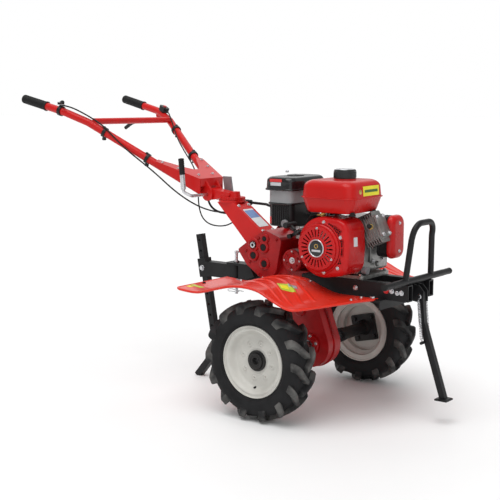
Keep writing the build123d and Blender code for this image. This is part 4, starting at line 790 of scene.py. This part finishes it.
def stack(name, mat, layers, place, replaced=None):
    """Rounded rectangles (level, half_u, half_v, corner), skinned and closed at both ends."""
    bm = bmesh.new()
    rings = []
    for level, half_u, half_v, corner in layers:
        rings.append([bm.verts.new(place(level, a, b)) for a, b in rounded(half_u, half_v, corner, 10)])
    skin(bm, rings, ends=True)
    obj = piece(name, bm, mat)
    if replaced:
        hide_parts(replaced)


def dome(low, high, hx_low, hy_low, inset, corner, steps=9):
    """Layers of a rounded edge that climbs from low to high and closes in by inset."""
    made = []
    for k in range(steps + 1):
        a = radians(90 * k / steps)
        gone = inset * (1 - cos(a))
        made.append((low + (high - low) * sin(a), hx_low - gone, hy_low - gone,
                     max(4, corner - gone * 0.5)))
    return made


# Tank: rounded shell with a seam flange
layers = [(679, 64, 68, 18), (679.6, 80, 84, 26), (682, 86, 90, 28), (688, 90, 94, 30), (706, 95.4, 99.4,
        33), (723, 100.6, 104.6, 35), (726.5, 101.4, 105.4, 36), (728, 102, 106, 36), (728.2, 105, 109, 37),
          (729, 106, 110, 38), (731, 106, 110, 38), (731.8, 105, 109, 37), (732, 102, 106, 36), (736, 101.8,
        105.8, 36), (758, 100, 104, 36)]
layers += [(z, a, b, c) for z, a, b, c in dome(760, 786, 99.8, 103.8, 30, 36, 12)]
layers += [(787.2, 54, 58, 16), (787.6, 34, 38, 10)]
stack("tank_shell", tank_red, layers, lambda z, a, b: at(154 + a, -78 + b, z), "fuel_tank")
lathe("tank_neck", tank_red, at(155, -64, 782), UP, [(21, 0), (30, 0), (27, 3), (25, 6), (25, 15.5),
        (24, 16), (21, 16)], 64, closed=True)

# Air cleaner: rounded lid
lid = [(745, 56, 103, 28), (745.4, 60, 107, 30), (748, 60, 107, 30), (756, 59.4, 106.4, 30), (768, 59, 106,
        30)]
lid += dome(772, 787.6, 59, 106, 16, 30, 9) + [(788, 30, 70, 14)]
stack("cleaner_lid", gloss_black, lid, lambda z, a, b: at(-58 + a, -45 + b, z), "air_cleaner_cover")


# Muffler: black body with ribs and its guard, both rounded
def on_muffler(x, a, b):
    return at(x, 28 + a, 595 + b)


guard = [(289, 39, 69, 24), (289, 42, 72, 26), (291, 42.2, 72.2, 26), (294, 42, 72, 26)]
for k in range(1, 11):
    a = radians(90 * k / 10)
    gone = 1 - cos(a)
    guard.append((294 + 18 * sin(a), 42 - 17 * gone, 72 - 17 * gone, 26 - 8 * gone))
stack("guard_shell", engine_red, guard, on_muffler, "muffler_guard")
muffler_body = [(250, 34, 62, 20)]
for k in range(5):
    for x, half_y, half_z, corner in ((251, 37, 67, 22), (253, 39, 69, 23), (256, 39, 69, 23), (258, 37, 67,
            22)):
        muffler_body.append((x + 8 * k, half_y, half_z, corner))
stack("muffler_ribs", plastic, muffler_body, on_muffler)

# Gear case: raised rings round its plugs
CASE_PLUGS = (((-183, 529), 11.5), ((-228, 497), 11.5), ((-179, 471), 11.5), ((-178, 560), 8))
FILLER = (-227, 535)
bm = bmesh.new()
for (x, z), r in (*CASE_PLUGS, (FILLER, 14)):
    add_lathe(bm, at(x, -62.6, z), RIGHT, [(r + 0.6, -3), (r + 11, -3), (r + 10.4, 0.4), (r + 8, 2.6),
                                           (r + 4, 3.4), (r + 1.6, 2.6), (r + 0.6, 0.6)], 56, closed=True)
add_lathe(bm, at(-64, -54.4, 492), RIGHT, [(10, -2), (40, -2), (39.6, 1.4), (37.6, 3), (33, 3.2), (31, 1.6),
                                           (12, 1.6), (10, 0.6)], 72, closed=True)
piece("case_rings", bm, case_red_shaded)
bm = bmesh.new()
for k in range(6):
    a = radians(60 * k + 20)
    add_hex_bolt(bm, at(-64 + 25 * cos(a), -54.8, 492 + 25 * sin(a)), RIGHT, 3.4, 4.4, 1.4)
piece("case_ring_bolts", bm, case_red_shaded)

# Tank: cap ribs, labels, fuel tap and hose
bm = bmesh.new()
for k in range(40):
    a = 2 * pi * k / 40
    u = Vector((-sin(a), cos(a), 0))
    add_slab(bm, at(155 + 36.8 * cos(a), -64 + 36.8 * sin(a), 801), u, UP, 1.3, 9.5, 1.2, 0.6, 0.0)
piece("cap_ribs", bm, gloss_black, body="fuel_cap")
lathe("cap_plate", silver, at(155, -64, 818), UP, [(0, 0.2), (10, 0.4), (24, 0.6), (28.6, 0.6), (30, 1.2),
        (31.4, 0.9), (32, 0)], 64, body="fuel_cap")
slope_x = Vector((-2 / 26.0, 0, 1)).normalized()
slab("tank_label", yellow, at(254.9, -62, 752), LEFT, slope_x, 49, 16, 0.5, 2, 0.0)
slab("tank_label_bar", green, at(255.4, -62, 752), LEFT, slope_x, 40, 4.4, 0.3, 1, 0.0)
lathe("tank_dot", brass, at(254.6, -127, 751), (1, 0, 0.09), [(0, 1.0), (7, 1.0), (8, 0.4), (8, 0)], 32)
bm = bmesh.new()
for x, y in ((66, -150), (66, -20), (240, -150), (240, -20)):
    add_lathe(bm, at(x, y, 676), UP, [(0, -2), (11, -2), (11, 3), (8, 5), (8, 10), (0, 10)], 24)
piece("tank_feet", bm, rubber)
bm = bmesh.new()
add_lathe(bm, at(120, -138, 664), UP, [(0, 0), (7, 0), (8, 2), (8, 12), (5, 14), (5, 18), (0, 18)], 24)
add_lathe(bm, at(112, -138, 670), (-1, 0, 0), [(0, -2), (4, -2), (4, 10), (5.2, 11), (4, 14), (0, 14)], 20)
piece("fuel_tap", bm, brass)
nurbs("fuel_hose", rubber, [(100, -138, 670), (84, -136, 671), (64, -132, 664), (40, -112, 640), (20, -100,
        616), (2, -90, 596)], 4.2)
nurbs("breather_hose", rubber, [(-16, 12, 640), (10, 16, 646), (40, 12, 652), (70, 2, 660), (100, -4, 662)],
      6.5)

# Air cleaner: ribs, lid step, sticker and wing nut
bm = bmesh.new()
for y0, sign in ((-45 - 95, -1), (-45 + 95, 1)):
    for k in range(9):
        add_slab(bm, at(-58 - 36 + k * 9, y0, 660), AHEAD if sign < 0 else (-1, 0, 0), UP, 1.4, 36, 2.0, 1.0)
for k in range(17):
    add_slab(bm, at(-106, -45 + 72 - k * 9, 660), RIGHT, UP, 1.4, 36, 2.0, 1.0)
piece("bowl_ribs", bm, plastic, bevel=0.0004)
bm = bmesh.new()
for z, half_x, half_y in ((697, 53, 100), (745, 60.5, 107.5)):
    outline = rounded(half_x, half_y, 28, 8)
    rings = []
    for grow, lift in ((-2, -3), (1.4, -3), (2.4, -1.5), (2.4, 1.5), (1.4, 3), (-2, 3)):
        ring = []
        for a, b in outline:
            length = hypot(a, b)
            ring.append(bm.verts.new(at(-58 + a * (1 + grow / length), -45 + b * (1 + grow / length),
                                        z + lift)))
        rings.append(ring)
    skin(bm, rings)
piece("cleaner_beads", bm, gloss_black)
slab("lid_sticker_red", red_plastic, at(-64, -152.2, 776), AHEAD, UP, 25, 5.2, 0.5, 1.2)
slab("lid_sticker_grey", silver, at(-64, -152.2, 764), AHEAD, UP, 22, 5.6, 0.5, 1.2)
lathe("lid_boss", gloss_black, at(-58, -45, 788), UP, [(0, 0), (30, 0), (30, 1.8), (27, 3.4), (12, 3.6),
        (9, 5), (0, 5)], 48)
lathe("lid_nut", zinc, at(-58, -95, 799), UP, [(0, 2), (5, 2), (6, 3.5), (5, 8), (3, 10), (0, 10)], 24)
lathe("choke_knob", grey_plastic, at(-30, -142, 632), RIGHT, [(0, 0), (13, 0), (13, 8), (11.5, 10), (7, 10),
        (6, 8.8), (0, 8.8)], 40)
slab("bowl_label", red_plastic, at(-92, -142.4, 640), AHEAD, UP, 3.2, 12, 0.5, 1)
bm = bmesh.new()
add_slab(bm, at(20, -118, 604), AHEAD, UP, 32, 7, 2.2, 3)
add_slab(bm, at(34, -121, 590), (0.8, 0, -0.6), (0.6, 0, 0.8), 20, 5, 2.2, 2.4)
piece("throttle_link", bm, plastic, bevel=0.0006)
helix("governor_spring", at(-4, -124, 612), at(56, -124, 628), 3.6, 0.7, 18)

# Recoil rope: from the shroud's guide to the handle
guide = at(58, -181, 602.5)
hold = at(28, -181, 625)
bm = bmesh.new()
pull = (hold - guide)
add_lathe(bm, guide, pull, [(0, 0), (2.2, 0)] + [(2.2, pull.length * 1000 * k / 16) for k in range(1, 17)]
          + [(0, pull.length * 1000)], 14)
rope = from_bmesh("recoil_rope", bm, rubber)
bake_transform(rope)
lathe("rope_guide", plastic, at(52, -181, 607), pull, [(3.0, 0), (8, 0), (9, 2), (8, 6), (5, 8), (3.0, 8)],
      32, closed=True)
bm = bmesh.new()
for k in range(5):
    add_lathe(bm, at(16, -160 - 10.5 * k, 634), RIGHT, [(9.0, -1.2), (9.9, 0), (9.0, 1.2)], 32)
piece("handle_ribs", bm, plastic, body="recoil_handle")

# Cylinder head: valve cover, bolts, spark plug and its boot
tilt = radians(25)
out = Vector((cos(tilt), 0, sin(tilt)))
up = Vector((-sin(tilt), 0, cos(tilt)))
across = Vector(LEFT)
head = at(CRANK_X + 104 * cos(tilt), -42, CRANK_Z + 104 * sin(tilt))
bolts("head_bolts", [head + (across * a + up * b + out * 72) / 1000 for a, b in ((-20, -30), (20, -30),
        (-20, 30), (20, 30))], out, 4.5, 5)
bm = bmesh.new()
plug_at = head + (across * -27 + up * 8 + out * 40) / 1000
lean = (Vector(RIGHT) + out * 0.45).normalized()
add_lathe(bm, plug_at, lean, [(0, -4), (9, -4), (9, 3), (6.5, 5), (6.5, 9), (0, 9)], 24)
add_lathe(bm, plug_at, lean, [(0, 9), (4, 9), (4, 16), (0, 16)], 16)
piece("spark_plug", bm, brass)
lathe("plug_boot", rubber, plug_at, lean, [(0, 14), (6.4, 14), (7.6, 16), (7.6, 30), (6.2, 34), (0, 35)], 28)
bm = bmesh.new()
for k, (x, y, z) in enumerate(((232, -4, 560), (236, 60, 520), (236, 20, 500), (222, 84, 560))):
    add_lathe(bm, at(x, y, z), (1, 0, 0.1), [(0, -6), (9, -6), (9, 2), (7, 4), (0, 4)], 28)
add_slab(bm, at(228.5, 20, 540), LEFT, UP, 40, 34, 6, 8, -2)
piece("side_castings", bm, cast, bevel=0.0012)
bolts("side_bolts", [at(x, y, z) for x, y, z in ((234.8, -10, 566), (234.8, 52, 566), (234.8, -10, 514),
        (234.8, 52, 514))], AHEAD, 4.4, 5)
lathe("dipstick_cap", grey_plastic, at(236, -60, 486), AHEAD, [(0, -10), (11, -10), (11, 3), (13, 4),
        (13, 10), (10, 12), (0, 12)], 12)

# Muffler: bolts of the guard
bolts("guard_bolts", [at(x, y, z) for x, y, z in ((311.6, 28, 642), (311.6, 28, 548))], AHEAD, 4.0, 4.6)

# Gear case: split flange, boss rings, bolts and plugs
GEARS = [((0, AXLE_Z), 80), ((-40, 319.5), 75), ((-92, 417), 63), ((-179, 471), 62)]


def tangent_strip(a, b, side_sign):
    (ca, ra), (cb, rb) = a, b
    dx, dz = cb[0] - ca[0], cb[1] - ca[1]
    d = hypot(dx, dz)
    base = atan2(dz, dx)
    lean_by = acos((ra - rb) / d)
    a1 = base + side_sign * lean_by
    return ((ca[0] + ra * cos(a1), ca[1] + ra * sin(a1)), (cb[0] + rb * cos(a1), cb[1] + rb * sin(a1)), a1)


bm = bmesh.new()
for low, high in zip(GEARS[:2], GEARS[1:3]):
    for sign in (-1, 1):
        p, q, a = tangent_strip(low, high, sign)
        normal = Vector((cos(a), 0, sin(a)))
        along = Vector((q[0] - p[0], 0, q[1] - p[1]))
        span = along.length
        along.normalize()
        middle = at((p[0] + q[0]) / 2, 0, (p[1] + q[1]) / 2)
        add_slab(bm, middle, along, LEFT if along.cross(Vector(LEFT)).dot(normal) > 0 else RIGHT,
                 span / 2 + 3, 5, 4, 2, -0.6)
steps = 40
low_c, low_r = GEARS[0]
start_a = tangent_strip(GEARS[0], GEARS[1], 1)[2]
stop_a = tangent_strip(GEARS[0], GEARS[1], -1)[2] + 2 * pi
rings = []
for k in range(steps + 1):
    a = start_a + (stop_a - start_a) * k / steps
    ring = []
    for y, r in ((-5, low_r - 1), (-5, low_r + 3), (-4, low_r + 4), (4, low_r + 4), (5, low_r + 3),
                 (5, low_r - 1)):
        ring.append(bm.verts.new(at(low_c[0] + r * cos(a), y, low_c[1] + r * sin(a))))
    rings.append(ring)
for a, b in zip(rings, rings[1:]):
    for k in range(5):
        bm.faces.new((a[k], a[k + 1], b[k + 1], b[k]))
piece("case_flange", bm, case_red_shaded, bevel=0.0008)

bm = bmesh.new()
for side in (-1, 1):
    add_lathe(bm, at(0, side * 38, AXLE_Z), (0, side, 0), [(17.6, 0), (40, 0), (40, 5), (37, 8), (30, 9),
            (29, 12), (20, 12), (17.6, 10)], 64, closed=True)
    for c, r in (((-40, 319.5), 24), ((-92, 417), 22)):
        add_lathe(bm, at(c[0], side * 38, c[1]), (0, side, 0), [(0, 4.5), (r * 0.6, 4.5), (r * 0.68, 6),
                (r * 0.86, 6), (r, 4), (r, 0)], 56)
piece("case_bosses", bm, case_red_shaded)
bm = bmesh.new()
for side in (-1, 1):
    for k in range(6):
        a = radians(60 * k + 15)
        add_hex_bolt(bm, at(34 * cos(a), side * 46.5, AXLE_Z + 34 * sin(a)), (0, side, 0), 4.6, 5, 1.2)
    add_hex_bolt(bm, at(-64, side * 54.2, 492), (0, side, 0), 7, 6, 1.7)
    for x, z in ((-96, 492), (-64, 524), (-64, 460), (-32, 492)):
        add_hex_bolt(bm, at(x, side * 54.2, z), (0, side, 0), 3.6, 4.2, 1.4)
piece("case_bolts", bm, zinc)
bm = bmesh.new()
for (x, z), r in CASE_PLUGS:
    add_lathe(bm, at(x, -63.1, z), RIGHT, [(0, -0.6), (r * 0.55, -0.6), (r * 0.7, 0.4), (r * 0.96, 0.9),
                                           (r, 0)], 36)
piece("plug_faces", bm, rubber)
lathe("filler_plug", zinc, at(-227, -66, 535), RIGHT, [(0, 2.0), (5, 2.0), (6, 3.2), (10, 3.4), (12.4, 2.2),
        (12.4, -2)], 8)
bolts("box_bolts", [at(x, -60.1, z) for x, z in ((-262, 512), (-245, 472), (-205, 430), (-150, 425),
        (-128, 560), (-206, 560))], RIGHT, 4.4, 4.8, 1.35, mat=case_red_shaded)

# Column: sticker on its upper face, edge bolts
top_a = at(-334, 0, 676)
top_b = at(-196, 0, 572)
down_dir = (top_b - top_a).normalized()
slab("column_sticker", white, top_a.lerp(top_b, 0.5), down_dir, LEFT, 48, 28, 0.5, 3)
slab("column_sticker_band", blue, top_a.lerp(top_b, 0.38), down_dir, LEFT, 20, 27, 0.4, 3, 0.62)
bolts("column_bolts", [top_a.lerp(top_b, t) + Vector((0, side * 0.029, 0)) for t, side in ((0.1, 1),
        (0.1, -1), (0.9, 1), (0.9, -1))], down_dir.cross(Vector(LEFT)), 5, 5)

# Swivel: ring of teeth under the plate, lock lever's grip, tilt bolt
bolts("tilt_nut", [at(-465, 47, 700)], LEFT, 8, 7, body="lock_lever")
grip_base = at(-491, -142, 778)
grip_axis = Vector((-4, -2, 64)).normalized()
profile = [(0, 0), (9.6, 0), (10.4, 2)]
for k in range(7):
    profile += [(10.6, 5 + 7 * k), (9.8, 6.2 + 7 * k), (9.8, 8 + 7 * k), (10.6, 9.2 + 7 * k)]
profile += [(11.2, 54), (9.6, 58), (0, 59.5)]
lathe("lock_grip", rubber, grip_base, grip_axis, profile, 40, body="lock_lever")
slab("swivel_catch", grey_paint, at(-424, 44.6, 728), AHEAD, (-12, 0, 72), 18.6, 36.6, 7.2, 1.5, 0.0,
     body="swivel")
bm = bmesh.new()
for k in range(36):
    a = 2 * pi * k / 36
    u = Vector((-sin(a), cos(a), 0))
    add_slab(bm, at(-373 + 46 * cos(a), 46 * sin(a), 689.5), u, UP, 2.0, 4.6, 2.0, 0.7)
piece("swivel_teeth", bm, red, body="swivel")

# Gusset bolts
bm = bmesh.new()
slope = (at(-640, 0, 826) - at(-471, 0, 759)).normalized()
plate_up = Vector(LEFT).cross(slope)
plate_up = plate_up if plate_up.z > 0 else -plate_up
for x, y in ((-500, 40), (-500, -40), (-560, 84), (-560, -84), (-615, 112), (-615, -112)):
    z = 759 + (826 - 759) * (-471 - x) / 169 + 0.4
    add_hex_bolt(bm, at(x, y, z), plate_up, 4.6, 5, 1.4)
piece("gusset_bolts", bm, zinc, body="handlebar")

# Cable clips' screws, throttle clamp
bm = bmesh.new()
for side in (-1, 1):
    for x, y, z in ((-822, 201, 925), (-672, 131, 830)):
        c = at(x, side * y, z)
        add_lathe(bm, c + Vector((0, side * 0.004, -0.021)), (0, 0, -1), [(0, -3), (7, -3), (8, -1), (8, 6),
                (6, 8), (0, 8)], 20)
        add_lathe(bm, c + Vector((0, side * 0.002, 0.019)), (0.3, 0, 1), [(0, -2), (6, -2), (6, 2), (4, 4),
                (0, 4)], 20)
piece("clip_lugs", bm, plastic, body="handlebar")
lathe("throttle_cap", zinc, at(-990, -263, 1036.3), UP, [(0, 0), (13.4, 0), (13.4, 1.6), (11, 2.6),
        (5, 2.6), (4.4, 4.6), (0, 4.6)], 40, body="throttle_lever")
direction = Vector((cos(radians(-35)), sin(radians(-35)), 0))
tip = at(-990, -263, 1036.8) + direction * 0.043
lathe("throttle_knob", plastic, tip - direction * 0.012, direction, [(0, 0), (6.4, 0), (7.4, 2), (7.4, 14),
        (5.4, 18), (0, 19)], 28, body="throttle_lever")

# Hitch: hairpin, ring and knob; stake screw's washer
nurbs("pin_ring", zinc, [(-354, -9, 488), (-345, -13, 492), (-338, 0, 496), (-345, 13, 492), (-354, 9,
        488)], 1.6, "drawbar")
nurbs("hairpin", zinc, [(-320, -2, 348), (-340, -2, 348), (-358, -1, 349), (-378, 0, 352), (-392, 0, 349),
                        (-396, 0, 345), (-390, 0, 341), (-376, 0, 343), (-364, 1, 341), (-344, 2, 344)],
      1.5, "drawbar")
bm = bmesh.new()
add_lathe(bm, at(-354, 0, 490), UP, [(0, 0), (6, 0), (7, 2), (7, 4), (4, 7), (0, 7.4)], 24)
add_hex_bolt(bm, at(-503.5, -19.2, 421), RIGHT, 7, 6, 1.5)
piece("pin_head", bm, zinc, body="drawbar")

# Bed: bolts at its front, red and white bolt ends, stand pivot
bm = bmesh.new()
for side in (-1, 1):
    add_hex_bolt(bm, at(415, side * 16.8, 412), (0, side, 0), 7.5, 2.6, 1.1)
    for x in (215, 388):
        add_hex_bolt(bm, at(x, side * 85.2, 430), (0, side, 0), 6, 5.5)
piece("bed_bolts", bm, zinc)
bolts("bed_bolt_red", [at(331, -85.3, 433)], RIGHT, 7, 7, 1.5, mat=red_plastic)
bm = bmesh.new()
add_hex_bolt(bm, at(352, -85.3, 433), RIGHT, 6, 6, 1.5)
add_hex_bolt(bm, at(372, -85.3, 428), RIGHT, 5, 6, 1.5)
piece("bed_bolt_pair", bm, zinc)
bm = bmesh.new()
for side in (-1, 1):
    add_lathe(bm, at(401, side * 219, 467), (0, side, 0), [(0, 0.4), (7.6, 0.4), (10.0, -0.4), (10.9, -2),
            (10.9, -9), (10.5, -10)], 32)
piece("bumper_ends", bm, rubber)
bm = bmesh.new()
add_slab(bm, at(503, 0, 83.2), AHEAD, LEFT, 20, 22, 1.4, 4)
piece("foot_pad", bm, black, bevel=0.0004, body="stand")

# Belt cover bolts on the left side
bolts("cover_bolts", [at(x, 160.1, z) for x, z in ((-183, 600), (-245, 505), (132, 620), (182, 550),
        (-20, 560))], LEFT, 5, 5)
slab("cover_label", yellow, at(-80, 160.1, 566), (-1, 0, 0), UP, 34, 12, 0.5, 2)

# Floor and light
bm = bmesh.new()
half = 60
corners = [bm.verts.new((x, y, 0)) for x, y in ((-half, -half), (half, -half), (half, half), (-half, half))]
bm.faces.new(corners)
floor_paint = material("studio_floor", (0.86, 0.86, 0.86), 0.6, spread=0.01, grain=2, bump=0.02, fine=60,
                       edge=0)
floor = from_bmesh("floor", bm, floor_paint, smooth=False)

world = bpy.data.worlds.new("studio")
world.use_nodes = True
tree = world.node_tree
soft = tree.nodes["Background"]
soft.inputs["Color"].default_value = (1, 1, 1, 1)
soft.inputs["Strength"].default_value = 0.46
paper = tree.nodes.new("ShaderNodeBackground")
paper.inputs["Color"].default_value = (1, 1, 1, 1)
paper.inputs["Strength"].default_value = 1.0
seen = tree.nodes.new("ShaderNodeLightPath")
pick = tree.nodes.new("ShaderNodeMixShader")
tree.links.new(seen.outputs["Is Camera Ray"], pick.inputs["Fac"])
tree.links.new(soft.outputs["Background"], pick.inputs[1])
tree.links.new(paper.outputs["Background"], pick.inputs[2])
tree.links.new(pick.outputs["Shader"], tree.nodes["World Output"].inputs["Surface"])
bpy.context.scene.world = world


def sun(name, toward, power, spread):
    light = bpy.data.lights.new(name, "SUN")
    light.energy = power
    light.angle = radians(spread)
    obj = bpy.data.objects.new(name, light)
    bpy.context.scene.collection.objects.link(obj)
    obj.rotation_euler = (-Vector(toward)).to_track_quat("-Z", "Y").to_euler()


sun("key", (0.0, -0.3, 1.0), 1.95, 50)
sun("fill", (0.7, -0.7, 0.55), 0.5, 60)
sun("back", (-0.6, 0.6, 0.7), 0.5, 60)
bpy.context.scene.view_settings.view_transform = "Standard"

low, high = cad_box
